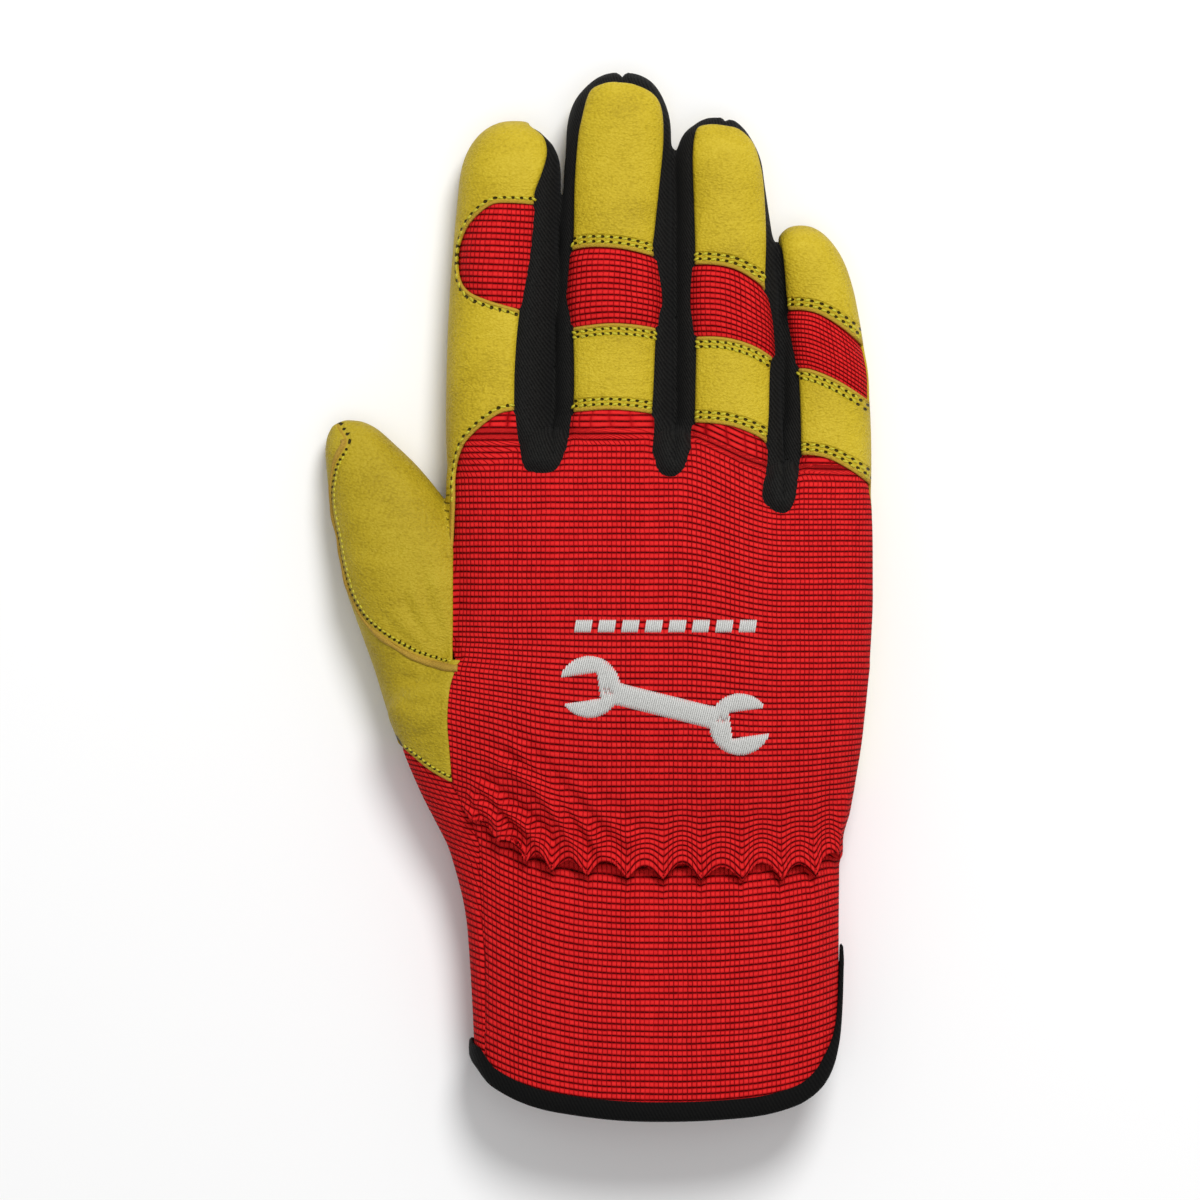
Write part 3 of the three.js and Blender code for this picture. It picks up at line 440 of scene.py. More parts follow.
def hand_angle(points):
    """Turn round the hand, height along it as its ribs run, and how far outside the plain form."""
    x, y, z = points.T
    along = y.copy()
    for _ in range(3):
        left, right, low, top = hand_section(along)
        dz = z - mix(low, top, WIDEST)
        fullness, reach = section_shape(dz, low, top)
        cosine = power(x / np.where(x >= 0, right, left), fullness / 2)
        sine = power(dz / reach, fullness / 2)
        angle = np.arctan2(sine, cosine)
        along = y - lift(angle, x, along)
    out = np.hypot(sine, cosine) ** (2 / fullness)
    size = np.minimum(np.where(x >= 0, right, left), reach)
    return angle, along, (out - 1) * size


def run_lengths(line):
    """Distance along a line of each of its points."""
    return np.concatenate(([0], np.cumsum(np.hypot(*np.diff(line, axis=0).T))))


ARC_STEP = 4.0
ARC_HEIGHTS = np.arange(-126.0, 50.0, ARC_STEP)
ARC_TURNS = np.linspace(-np.pi, np.pi, 361)


def arc_row(y):
    length = run_lengths(np.column_stack(ring(ARC_TURNS, 0.0, *hand_section(y))))
    return length - np.interp(np.pi / 2, ARC_TURNS, length)


ARCS = np.array([arc_row(y) for y in ARC_HEIGHTS])


def arc(angle, along):
    """Distance round the hand from the middle of its back, growing towards the little finger."""
    row = np.clip((along - ARC_HEIGHTS[0]) / ARC_STEP, 0, len(ARC_HEIGHTS) - 1.001)
    column = np.clip((angle - ARC_TURNS[0]) / (ARC_TURNS[1] - ARC_TURNS[0]), 0, len(ARC_TURNS) - 1.001)
    r, c = row.astype(int), column.astype(int)
    low = mix(ARCS[r, c], ARCS[r, c + 1], column - c)
    high = mix(ARCS[r + 1, c], ARCS[r + 1, c + 1], column - c)
    return -mix(low, high, row - r)


def thumb_outside(points):
    """How far a point lies outside the thumb's form."""
    plan = points[:, :2] - THUMB_BASE
    at = plan @ THUMB_WAY / THUMB_LENGTH
    half, centre, low, top = thumb_section(np.clip(at, -0.12, 0.975))
    dx = plan @ THUMB_ACROSS - centre
    dz = points[:, 2] - mix(low, top, WIDEST)
    fullness, reach = section_shape(dz, low, top)
    out = (np.abs(dx / half) ** fullness + np.abs(dz / reach) ** fullness) ** (1 / fullness)
    return (out - 1) * np.minimum(half, reach) + 20 * np.maximum(0, -0.1 - at)


# Distances in plan

def around(points, line, reach):
    """Numbers of the points in a box round a line."""
    low, high = np.min(line, axis=0) - reach, np.max(line, axis=0) + reach
    return np.where(np.all((points[:, :2] > low) & (points[:, :2] < high), axis=1))[0]


def nearest_on(line, points, near):
    """From each near point to a line: distance, number of the nearest stretch, share along it, and offset."""
    start, edge = line[:-1], np.diff(line, axis=0)
    found = []
    for part in np.array_split(near, max(1, len(near) // 20000)):
        q = points[part, None, :2]
        share = np.clip(((q - start) * edge).sum(2) / np.maximum(1e-9, (edge ** 2).sum(1)), 0, 1)
        offset = q - (start + share[..., None] * edge)
        gap = np.hypot(offset[..., 0], offset[..., 1])
        k = gap.argmin(1)
        rows = np.arange(len(part))
        found.append(np.column_stack((gap[rows, k], k, share[rows, k], offset[rows, k])))
    found = np.vstack(found)
    return found[:, 0], found[:, 1].astype(int), found[:, 2], found[:, 3:]


def signed(points, outline, margin=14.0):
    """Distance inside a closed outline, below nought outside it."""
    closed = np.vstack((outline, outline[:1]))
    near = around(points, closed, margin)
    gap = nearest_on(closed, points, near)[0]
    x, y = points[near, :2].T
    inside = np.zeros(len(near), bool)
    for (ax, ay), (bx, by) in zip(closed, closed[1:]):
        if ay != by:
            inside ^= ((ay > y) != (by > y)) & (x < ax + (y - ay) * (bx - ax) / (by - ay))
    result = np.full(len(points), -margin)
    result[near] = np.where(inside, gap, -gap)
    return result


def above(points, line, reach=9.0):
    """Distance above a seam that runs across, in plan, and the place along it."""
    p = curve(line)
    first, last = (end + (end - other) / np.hypot(*(end - other)) * reach
                   for end, other in ((p[0], p[1]), (p[-1], p[-2])))
    p = np.vstack((first, p, last))
    near = np.where((points[:, 1] > p[:, 1].min() - 30) & (points[:, 1] < p[:, 1].max() + 60))[0]
    gaps, places = np.full(len(points), 40.0), np.zeros(len(points))
    gaps[near], k, share, _ = nearest_on(p, points, near)
    total = run_lengths(p)
    places[near] = mix(total[k], total[k + 1], share) - reach
    side = np.where(points[:, 1] > np.interp(points[:, 0], p[:, 0], p[:, 1]), 1.0, -1.0)
    return gaps * side, places


def wall_outline(i):
    left, right = curve(WALL_LEFT[i]), curve(WALL_RIGHT[i])
    foot = curve([WALL_LEFT[i][-1]] + WALL_FOOT[i] + [WALL_RIGHT[i][0]])
    return np.vstack((left, foot[1:-1], right, [(right[-1][0], 142.0), (left[0][0], 142.0)]))


WALLS = [wall_outline(i) for i in range(3)]


# Distances to seams, on the plain form: above nought inside a region

angle, along, hand_outside = hand_angle(Q)
side_of = [Q[:, 0] - line_x(k, Q[:, 1]) for k in range(5)]
walls = [signed(Q, outline) for outline in WALLS]
any_wall = np.maximum.reduce(walls)
caps = {i: above(Q, CAP[i]) for i in (1, 2, 3)}
band_tops = {i: above(Q, BAND_TOP[i]) for i in (1, 2, 3)}
band_feet = {i: above(Q, BAND_FOOT[i]) for i in (1, 2, 3)}
palm_seam = mix(PALM_SEAM_Z, WALL_SEAM_Z, smooth(any_wall / 2.5 + 1.1))
upper = Q[:, 2] - palm_seam
back_outline = np.vstack((
    curve(INDEX_HEM), curve(HAND_EDGE)[1:], [(-41.6, -130.0), (70.0, -130.0), (70.0, 24.0)],
    curve(BAND_FOOT[3])[::-1], curve(BAND_FOOT[2])[::-1], curve(BAND_FOOT[1])[::-1]))
back = signed(Q, back_outline)
leather_outline = np.array([(-90.0, -9.0), (-70.0, -19.0)] + [tuple(p) for p in curve(HEEL_EDGE)]
                           + [(-45.0, WRIST_SEAM_Y), (90.0, WRIST_SEAM_Y), (90.0, 150.0), (-90.0, 150.0)])
leather_side = signed(Q, leather_outline, 60.0)
window = signed(Q, np.vstack((curve(WINDOW), [(-24.0, 79.0), (-24.0, 104.3)])))
thumb_back = signed(Q, np.vstack((curve(THUMB_SEAM), [(-44.0, -6.2), (-44.0, 62.0), (-78.0, 62.0)])), 30.0)
thumbness = hand_outside - thumb_outside(Q)
thumb_only = np.minimum(thumbness, np.maximum(-51.8 - Q[:, 0], 31.0 - Q[:, 1]))
# Near the inner end of its seam the thumb's leather runs up to a narrow strip beside the back of the hand
near_strip = smooth((26.0 - Q[:, 1]) / 8.0) * smooth((Q[:, 2] - PALM_SEAM_Z) / 2.0)
thumb_only = mix(thumb_only, THUMB_EDGE_X - Q[:, 0], near_strip)
seam_z = mix(PALM_SEAM_Z, CUFF_SEAM_Z, smooth((WRIST_SEAM_Y + 3 - Q[:, 1]) / 6.0))


def between_sides(i):
    return [side_of[i]] + ([-side_of[i + 1]] if i < 3 else [])


inserts = [window] + [np.minimum.reduce([-caps[i][0], band_tops[i][0]] + between_sides(i)) for i in (1, 2, 3)]
insert_depth = np.minimum(np.maximum.reduce(inserts), -any_wall)

# Gathers, folds and puffs

# Folds that the elastic drags from the thumb side into the low points of the gathers: points along it,
# half width, height
DRAG_FOLDS = (
    ([(-47.6, -38.5), (-43.5, -42.0), (-39.5, -46.5)], 1.1, 0.8),
    ([(-46.5, -36.0), (-41.0, -40.5), (-36.6, -45.5), (-32.4, -51.4)], 1.2, 1.0),
    ([(-46.0, -32.5), (-37.0, -40.0), (-29.2, -46.7), (-25.4, -53.4)], 1.3, 1.0),
    ([(-43.0, -26.5), (-31.2, -33.6), (-22.5, -44.7), (-17.5, -54.4)], 1.4, 0.95),
    ([(-38.0, -21.5), (-27.0, -34.5), (-15.5, -47.5), (-8.4, -55.2)], 1.6, 0.7),
    ([(-24.0, -30.0), (-12.0, -43.0), (-3.0, -50.5)], 1.9, 0.35),
    ([(45.0, -35.0), (43.0, -44.0), (39.5, -51.0)], 1.6, 0.5),
)
# Wrinkles in the leather of thumb and heel
WRINKLES = (
    ([(-50.5, -5.0), (-57.0, 2.0), (-62.5, 12.0)], 1.3, -0.45),
    ([(-50.0, -4.0), (-54.5, 5.0), (-57.0, 17.0)], 1.4, -0.4),
    ([(-50.6, -6.0), (-60.0, -0.5), (-68.5, 8.0)], 1.1, -0.3),
    ([(-52.0, -9.0), (-57.5, -10.0), (-63.5, -8.0)], 1.3, -0.4),
    ([(-51.5, -13.0), (-56.5, -15.5), (-62.5, -15.0)], 1.5, -0.45),
    ([(-51.0, -18.5), (-55.0, -22.0), (-59.5, -23.0)], 1.2, -0.35),
    ([(-73.5, 22.0), (-67.0, 20.5), (-60.5, 21.5)], 1.7, -0.3),
    ([(-74.5, 33.0), (-69.0, 31.5), (-64.5, 33.0)], 1.4, -0.22),
    ([(-49.2, 62.0), (-44.0, 60.5), (-37.5, 61.5)], 2.0, -0.22),
    ([(-49.0, 71.5), (-43.5, 72.6), (-36.5, 71.0)], 1.6, -0.2),
)
DRAG = 1.5
ARCH_HEIGHTS = np.array([1.6, 2.6, 3.2, 3.4, 4.3, 3.7, 4.8, 3.9, 5.0, 4.3, 4.6])


# Above the elastic the fabric stands up over each arch, most at the points between two arches. Below it the
# cuff is drawn in. Each has its height and the distance over which it fades.
CREST, CREST_AT_POINTS, CREST_FADE = 1.5, 0.8, 4.5
FLANK, FLANK_FADE = 0.7, 8.0
PINCH, PINCH_FADE = 0.9, 2.2
OVERHANG, OVERHANG_FADE = 1.9, 2.4
SUNK, SUNK_FADE = 2.9, 3.8
FLUTE, FLUTE_FADE = 0.7, 12.0
RIBS_FADE, RIBS_FADE_BELOW = 5.6, 4.0
# Half widths of a point and of its pinch, as shares of an arch
POINT_SHARE, PINCH_SHARE = 1 / 5.5, 1 / 16


def bell(distance, width):
    return np.exp(-(distance / width) ** 2)


def gather_shape(points, angle):
    """Height, push towards the hem, and rise of the ribs, that the elastic gives to the back of the hand."""
    lows = np.array(GATHER_LOWS)
    x, y = points[:, 0], points[:, 1]
    phase = np.interp(x, lows[:, 0], np.arange(len(lows)))
    cell = np.minimum(phase.astype(int), len(ARCH_HEIGHTS) - 1)
    rise = ARCH_HEIGHTS[cell] * np.abs(np.sin(np.pi * phase)) ** 0.8
    t = y - (through(lows, x, 1) + rise)
    over, under = np.maximum(t, 0), np.maximum(-t, 0)
    from_point = np.minimum(phase % 1, 1 - phase % 1)
    point = bell(from_point, POINT_SHARE)
    crest = (CREST + CREST_AT_POINTS * point) * np.exp(-over / CREST_FADE)
    flank = FLANK * (point - 0.4) * np.exp(-over / FLANK_FADE)
    pinch = PINCH * bell(from_point, PINCH_SHARE) * np.exp(-over / PINCH_FADE)
    flutes = FLUTE * np.sin(2 * np.pi * phase + 0.9) * np.exp(-under / FLUTE_FADE)
    lower = flutes - SUNK * np.exp(-under / SUNK_FADE)
    edge = smooth(t / 0.8 + 0.5)
    ends = smooth((x + 47.0) / 5.0) * smooth((44.5 - x) / 3.5)
    strength = smooth(2.2 * np.sin(angle) + 0.4) * ends
    push = -OVERHANG * np.exp(-over / OVERHANG_FADE) * edge
    rib_above = rise * np.exp(-(over / RIBS_FADE) ** 1.4) - 0.5 * point * np.exp(-over / RIBS_FADE_BELOW)
    rib = mix(0.5 * rise * np.exp(-under / RIBS_FADE_BELOW), rib_above, edge)
    return mix(lower, crest + flank - pinch, edge) * strength, push * strength, rib * strength


def beside(points, line, reach=9.0):
    """Distance to the right of a line, seen along it, and a weight that fades past its ends."""
    p = curve(line)
    near = around(points, p, reach)
    gap, k, share, offset = nearest_on(p, points, near)
    edge = np.diff(p, axis=0)[k]
    away, weight = np.full(len(points), 99.0), np.zeros(len(points))
    away[near] = gap * np.sign(edge[:, 1] * offset[:, 0] - edge[:, 0] * offset[:, 1])
    place = (k + share) / (len(p) - 1)
    weight[near] = smooth(5 * (place + 0.02)) * smooth(5 * (1.02 - place))
    return away, weight


WALL_GROOVE, FOOT_ROLL, FOOT_CREASE = 0.5, 1.25, 1.5
INSERT_PUFF, BACK_PUFF, SIDE_SEAM_DEPTH = 0.75, 0.3, 0.6

facing_up = smooth(plain_normals[:, 2] * 1.5 + 0.3)
height, push, rib_rise = gather_shape(Q, angle)
for line, width, rise in DRAG_FOLDS:
    away, weight = beside(Q, line)
    sharp = bell(away, width) - 0.9 * bell(away + 1.6 * width, width)
    height += DRAG * rise * sharp * weight * facing_up
    rib_rise += 1.3 * rise * np.tanh(away / width) * np.exp(-np.abs(away) / (3.5 * width)) * weight
for line, width, rise in WRINKLES:
    away, weight = beside(Q, line)
    height += rise * (bell(away, width) - 0.5 * bell(away - 2 * width, width)) * weight * facing_up
above_seam = smooth((Q[:, 2] - palm_seam + 1.0) / 2.0)
near_feet = smooth((54.0 - Q[:, 1]) / 7.0) * above_seam
for k, depth in enumerate(walls):
    height -= WALL_GROOVE * bell(depth, 1.1) * above_seam
    height += FOOT_ROLL * smooth(depth / 2.4) * near_feet
    foot_y = min(y for _, y in WALL_FOOT[k])
    crease = bell(side_of[k + 1], 0.9) * smooth((Q[:, 1] - foot_y - 1.5) / 3.0)
    height -= FOOT_CREASE * crease * smooth(depth / 2.0) * near_feet
height += INSERT_PUFF * smooth(insert_depth / 4.0) * facing_up
# Distance from the edge of the back of the hand on the thumb's side, down to the hem
from_hand_edge = signed(Q, np.vstack((curve(HAND_EDGE), [(70.0, -93.6), (70.0, -4.8)])))
on_cuff = smooth((-33.0 - Q[:, 1]) / 6.0) * (Q[:, 2] > SIDE_Z)
height -= SIDE_SEAM_DEPTH * bell(from_hand_edge, 0.8) * on_cuff
height += BACK_PUFF * smooth(back / 3.0) * smooth((Q[:, 1] - 30.0) / 12.0) * facing_up
skin_points = Q + plain_normals * height[:, None]
skin_points[:, 1] += push
skin_points[:, 2] = np.maximum(skin_points[:, 2], 0.0)


def vertex_normals(points, faces):
    a, b, c = points[faces].transpose(1, 0, 2)
    cross = np.cross(b - a, c - a)
    normals = np.zeros_like(points)
    for k in range(3):
        for axis in range(3):
            normals[:, axis] += np.bincount(faces[:, k], cross[:, axis], len(points))
    return normals / np.maximum(1e-12, np.linalg.norm(normals, axis=1))[:, None]


skin_normals = vertex_normals(skin_points, skin_faces)


def hem_drop(angle):
    return through(HEM, np.degrees(angle) % 360, 1) * CUFF_LENGTH


MITRE = 1.5


def beside_hem_y(angle, distance):
    """Height of a line beside the hem, a distance from it along the fabric."""
    turn = 0.05
    ends = []
    for turned in (angle + turn, angle - turn):
        x, z = ring(turned, 0.0, 43.5, 43.5, 1.2, 32.0)
        ends.append((x, -hem_drop(turned), z))
    run = np.hypot(ends[0][0] - ends[1][0], ends[0][2] - ends[1][2])
    slope = (ends[0][1] - ends[1][1]) / run
    return WAIST_Y - hem_drop(angle) + distance * np.minimum(MITRE, np.hypot(1, slope))


HEM_FOLD = 1.4
hem = Q[:, 1] - beside_hem_y(angle, HEM_FOLD)

# Weave coordinates: round the hand and along it
plan_along = Q[:, 1] + little_skew(Q[:, 0])
weave_along = mix(along, plan_along, smooth((Q[:, 1] - 30.0) / 8.0))
# On the thumb side of the back the ribs climb towards its edge
SLANT, SLANT_START, SLANT_SOFT = 0.24, -24.0, 6.0
thumb_side = SLANT_SOFT * np.log1p(np.exp((SLANT_START - Q[:, 0]) / SLANT_SOFT))
fading = mix(1.0, 0.4, smooth((-60.0 - Q[:, 1]) / 50.0))
slant = SLANT * thumb_side * smooth((8.0 - Q[:, 1]) / 28.0) * fading
weave = np.column_stack((arc(angle, along), weave_along - rib_rise - slant))
weave_low = np.column_stack((arc(angle % (2 * np.pi) - np.pi, along), along))


# Cutting

def keep_above(rows, faces, level):
    """The part of a surface where a level is above nought. Its rows carry every value of a point."""
    level = level.copy()
    a, b = faces[:, [0, 1, 2]].ravel(), faces[:, [1, 2, 0]].ravel()
    crossing = level[a] * level[b] < 0
    a, b = a[crossing], b[crossing]
    share = np.abs(level[a]) / (np.abs(level[a]) + np.abs(level[b]))
    close = share < 0.22
    order = np.argsort(-share[close])
    first, second, part = a[close][order], b[close][order], share[close][order]
    rows = rows.copy()
    moved = rows[first] + part[:, None] * (rows[second] - rows[first])
    rows[first] = moved
    level[first] = 1e-7
    positive = level > 0
    count = positive[faces].sum(1)
    whole = faces[count == 3]
    mixed = faces[(count == 1) | (count == 2)]
    flags = positive[mixed]
    alone_above = flags.sum(1) == 1
    lone = np.where(alone_above, flags.argmax(1), (~flags).argmax(1))
    turned = np.take_along_axis(mixed, (lone[:, None] + np.arange(3)) % 3, axis=1)
    pairs = np.vstack((turned[:, [0, 1]], turned[:, [0, 2]]))
    unique, inverse = np.unique(np.sort(pairs, axis=1), axis=0, return_inverse=True)
    inverse = inverse.ravel()
    low, high = unique.T
    share = np.abs(level[low]) / np.maximum(1e-12, np.abs(level[low]) + np.abs(level[high]))
    added = rows[low] + share[:, None] * (rows[high] - rows[low])
    start = len(rows)
    p, q = start + inverse[:len(turned)], start + inverse[len(turned):]
    tips = np.column_stack((turned[:, 0], p, q))[alone_above]
    rest = ~alone_above
    bases = np.vstack((np.column_stack((p, turned[:, 1], turned[:, 2]))[rest],
                       np.column_stack((p, turned[:, 2], q))[rest]))
    return merge(np.vstack((rows, added)), np.vstack((whole, tips, bases)))


def merge(rows, faces):
    """Drops unused points, joins those in one place and drops faces without area."""
    used = np.unique(faces)
    keys = np.round(rows[used, :3] * 500).astype(np.int64)
    _, first, inverse = np.unique(keys, axis=0, return_index=True, return_inverse=True)
    number = np.zeros(len(rows), np.int64)
    number[used] = inverse.ravel()
    faces = number[faces]
    whole = (faces[:, 0] != faces[:, 1]) & (faces[:, 1] != faces[:, 2]) & (faces[:, 2] != faces[:, 0])
    return rows[used[first]], faces[whole]


def patch(levels, values):
    """Cuts the skin by several levels and keeps the largest part. Its rows hold place, normal and values."""
    rows = np.column_stack([skin_points, skin_normals] + values + levels)
    first = rows.shape[1] - len(levels)
    near = np.all(rows[:, first:] > -3.0, axis=1)
    rows, faces = merge(rows, skin_faces[near[skin_faces].all(1)])
    for k in range(len(levels)):
        rows, faces = keep_above(rows, faces, rows[:, first + k])
    rows, faces = biggest(rows, faces)
    return rows[:, :first], faces


def boundary(faces):
    edges = faces[:, [0, 1, 1, 2, 2, 0]].reshape(-1, 2)
    keys = np.sort(edges, axis=1)
    _, inverse, counts = np.unique(keys, axis=0, return_inverse=True, return_counts=True)
    return edges[counts[inverse.ravel()] == 1]


RIM_STEPS = 4


def biggest(rows, faces):
    """The largest connected part."""
    label = np.arange(len(rows))
    while True:
        least = np.minimum.reduce(label[faces], axis=1)
        fresh = label.copy()
        for k in range(3):
            np.minimum.at(fresh, faces[:, k], least)
        fresh = fresh[fresh]
        if np.array_equal(fresh, label):
            break
        label = fresh
    names, counts = np.unique(label[faces[:, 0]], return_counts=True)
    return merge(rows, faces[label[faces[:, 0]] == names[counts.argmax()]])


def thicken(name, rows, faces, outside, thickness, uv_names=("weave",)):
    """A closed piece with rounded rims, from an open surface. Values after place and normal come in pairs
    and become its UV maps."""
    points, normals = rows[:, :3], rows[:, 3:6]
    normals = normals / np.linalg.norm(normals, axis=1)[:, None]
    edges = boundary(faces)
    out = np.zeros_like(points)
    for start, end in ((0, 1), (1, 0)):
        run = points[edges[:, 1]] - points[edges[:, 0]]
        away = np.cross(run, normals[edges[:, start]])
        np.add.at(out, edges[:, start], away)
    rim = np.unique(edges)
    out = out[rim] / np.maximum(1e-9, np.linalg.norm(out[rim], axis=1))[:, None]
    place = np.zeros(len(points), np.int64)
    place[rim] = np.arange(len(rim))
    count = len(points)
    half = thickness / 2
    outside = np.broadcast_to(outside, (count,))
    top = points + normals * outside[:, None]
    bottom = points + normals * (outside - thickness)[:, None]
    layers = []
    for k in range(1, RIM_STEPS):
        turn = math.pi * k / RIM_STEPS
        up = outside[rim] - half + half * math.cos(turn)
        layers.append(points[rim] + normals[rim] * up[:, None] + out * half * math.sin(turn))
    all_points = np.vstack([top, bottom] + layers)
    all_points[:, 2] = np.maximum(all_points[:, 2], 0.02)
    start = 2 * count
    rings = [edges] + [start + k * len(rim) + place[edges] for k in range(RIM_STEPS - 1)] + [edges + count]
    triangles = np.vstack((faces, faces[:, ::-1] + count))
    rim_faces = np.vstack([np.column_stack((a[:, 1], a[:, 0], b[:, 0], b[:, 1]))
                           for a, b in zip(rings, rings[1:])])
    source = np.concatenate([np.arange(count), np.arange(count)] + [rim] * (RIM_STEPS - 1))
    return build(name, all_points, triangles, rim_faces, rows[source, 6:], uv_names)


def build(name, points, triangles, four_sided, values, uv_names):
    """A mesh from arrays, with pairs of values as its UV maps."""
    mesh = bpy.data.meshes.new(name)
    mesh.vertices.add(len(points))
    mesh.vertices.foreach_set("co", (points * MM).astype(np.float32).ravel())
    corners = np.concatenate((triangles.ravel(), four_sided.ravel()))
    mesh.loops.add(len(corners))
    mesh.loops.foreach_set("vertex_index", corners.astype(np.int32))
    sizes = np.concatenate((np.full(len(triangles), 3), np.full(len(four_sided), 4)))
    mesh.polygons.add(len(sizes))
    starts = np.concatenate(([0], np.cumsum(sizes)[:-1]))
    mesh.polygons.foreach_set("loop_start", starts.astype(np.int32))
    mesh.update(calc_edges=True)
    mesh.validate()
    for k, uv_name in enumerate(uv_names):
        layer = mesh.uv_layers.new(name=uv_name)
        layer.data.foreach_set("uv", values[corners, 2 * k:2 * k + 2].astype(np.float32).ravel())
    mesh.shade_smooth()
    piece = bpy.data.objects.new(name, mesh)
    bpy.context.collection.objects.link(piece)
    return piece


# Materials

class Value:
    """A value in a material's nodes, with arithmetic on it."""

    def __init__(self, finish, socket):
        self.finish = finish
        self.socket = socket

    def of(self, operation, other=0.0, reflected=False):
        inputs = {0: other, 1: self} if reflected else {0: self, 1: other}
        return self.finish.add("ShaderNodeMath", {"operation": operation}, inputs)

    def clipped(self):
        return self.of("MAXIMUM", 0.0).of("MINIMUM", 1.0)

    def from_middle(self):
        """How far a value is from the middle of its whole step, 0 there and 1 at both ends."""
        return (self.of("FRACT") - 0.5).of("ABSOLUTE") * 2.0


def operator(operation, reflected):
    return lambda value, other: value.of(operation, other, reflected)


for sign, operation in {"add": "ADD", "sub": "SUBTRACT", "mul": "MULTIPLY", "truediv": "DIVIDE",
                        "pow": "POWER"}.items():
    setattr(Value, f"__{sign}__", operator(operation, False))
    setattr(Value, f"__r{sign}__", operator(operation, True))


class Finish:
    """A material and its nodes."""

    def __init__(self, name, roughness, sheen=0.0, specular=0.5):
        self.material = bpy.data.materials.new(name)
        self.material.use_nodes = True
        self.tree = self.material.node_tree
        self.shader = self.tree.nodes["Principled BSDF"]
        self.set(Roughness=roughness, Sheen_Weight=sheen, Specular_IOR_Level=specular)

    def feed(self, socket, value):
        if isinstance(value, Value):
            self.tree.links.new(value.socket, socket)
        else:
            socket.default_value = value

    def add(self, kind, settings=None, inputs=None, output=0):
        node = self.tree.nodes.new(kind)
        for key, value in (settings or {}).items():
            if key == "stops":
                ramp = node.color_ramp.elements
                while len(ramp) < len(value):
                    ramp.new(0.5)
                for element, (place, colour) in zip(ramp, value):
                    element.position = place
                    element.color = colour
            else:
                setattr(node, key, value)
        for key, value in (inputs or {}).items():
            self.feed(node.inputs[key], value)
        return Value(self, node.outputs[output])

    def parts(self, vector):
        split = self.add("ShaderNodeSeparateXYZ", None, {0: vector})
        return [Value(self, socket) for socket in split.socket.node.outputs]

    def uv(self, name):
        """The two parts of a UV map, in millimetres."""
        return self.parts(self.add("ShaderNodeUVMap", {"uv_map": name}))[:2]

    def object_place(self, x=1000, y=1000, z=1000):
        """Place on the object, with how many units a metre takes along each axis."""
        place = self.add("ShaderNodeTexCoord", None, None, "Object")
        return self.add("ShaderNodeMapping", None, {"Vector": place, "Scale": (x, y, z)})

    def noise(self, place, scale, detail, **more):
        inputs = {"Vector": place, "Scale": scale, "Detail": detail, **more}
        return self.add("ShaderNodeTexNoise", None, inputs)

    def chance(self, dimensions, **inputs):
        """A number by chance, the same each time, for each whole value."""
        return self.add("ShaderNodeTexWhiteNoise", {"noise_dimensions": dimensions}, inputs)

    def colours(self, share, *stops):
        return self.add("ShaderNodeValToRGB", {"stops": stops}, {0: share})

    def blend(self, share, first, second):
        return self.add("ShaderNodeMix", {"data_type": "RGBA"}, {0: share, 6: first, 7: second}, 2)

    def bump(self, height, depth):
        return self.add("ShaderNodeBump", None, {"Height": height, "Distance": depth * MM, "Strength": 1.0})

    def set(self, **sockets):
        for name, value in sockets.items():
            self.feed(self.shader.inputs[name.replace("_", " ")], value)
        return self.material


RIB_PITCH = 1.5
BEAD_PITCH = 1.13


def rib_finish():
    """Ribs across the hand, each a row of small beads, with painted shade in the grooves between the ribs and
    a painted highlight on the bead crowns.
    """
    f = Finish("rib_fabric", 0.85, specular=0.06)
    u, v = f.uv("weave")
    place = f.object_place()
    drift = f.noise(place, 0.1, 2.0)
    fibres = f.noise(place, 5.0, 3.0)
    fuzz = f.noise(place, 1.6, 2.0)
    rib = (v + drift * 0.35) / RIB_PITCH
    across = (rib.from_middle() + (fuzz - 0.5) * 0.3).clipped()
    row = rib.of("FLOOR")
    bead = (u + drift * 0.6 + f.chance("1D", W=row) * 0.14) / BEAD_PITCH
    along_bead = bead.from_middle()
    column = bead.of("FLOOR")
    joint = along_bead ** 5.0 * (f.chance("1D", W=column) * 0.45 + 0.28)
    tone = f.chance("2D", Vector=f.add("ShaderNodeCombineXYZ", None, {0: row, 1: column}))
    height = (1 - across ** 3.2) * (1 - joint)
    # Darker painted-shade dashes along the grooves, and painted light that breaks them at the bead joints.
    groove_shade = across ** 9.0 * (1 - along_bead ** 3.0) * 0.5
    lit = across ** 4.0 * along_bead ** 3.0 * 0.3
    # The colour follows the ribs' height: painted shade in the grooves and at the bead joints, and the top
    # stops give a painted highlight on the bead crowns.
    shade = (height * 0.84 + fibres * 0.34 + tone * 0.1 + fuzz * 0.16 - groove_shade + lit - 0.22).of("MINIMUM", 1.0)
    colour = f.colours(shade, (0.0, (0.05, 0.0003, 0.0008, 1)), (0.28, (0.15, 0.001, 0.002, 1)),
                       (0.6, (0.37, 0.003, 0.005, 1)), (1.0, (0.74, 0.022, 0.022, 1)))
    return f.set(Base_Color=colour, Normal=f.bump(height + fibres * 0.12, 0.4))


STITCH_PITCH = 2.0
THUMB_PITCH = 1.4
STITCH_ROWS = (1.3, 2.5)
SUEDE_EDGE = 0.75
# Half widths of a needle hole and of the groove that the thread lies in, and a hole's share of the pitch
HOLE_HALF, GROOVE_HALF, HOLE_SHARE = 0.36, 0.7, 0.26
LEATHER_STOPS = ((0.2, (0.34, 0.24, 0.007)), (0.48, (0.51, 0.375, 0.017)), (0.8, (0.62, 0.475, 0.036)))


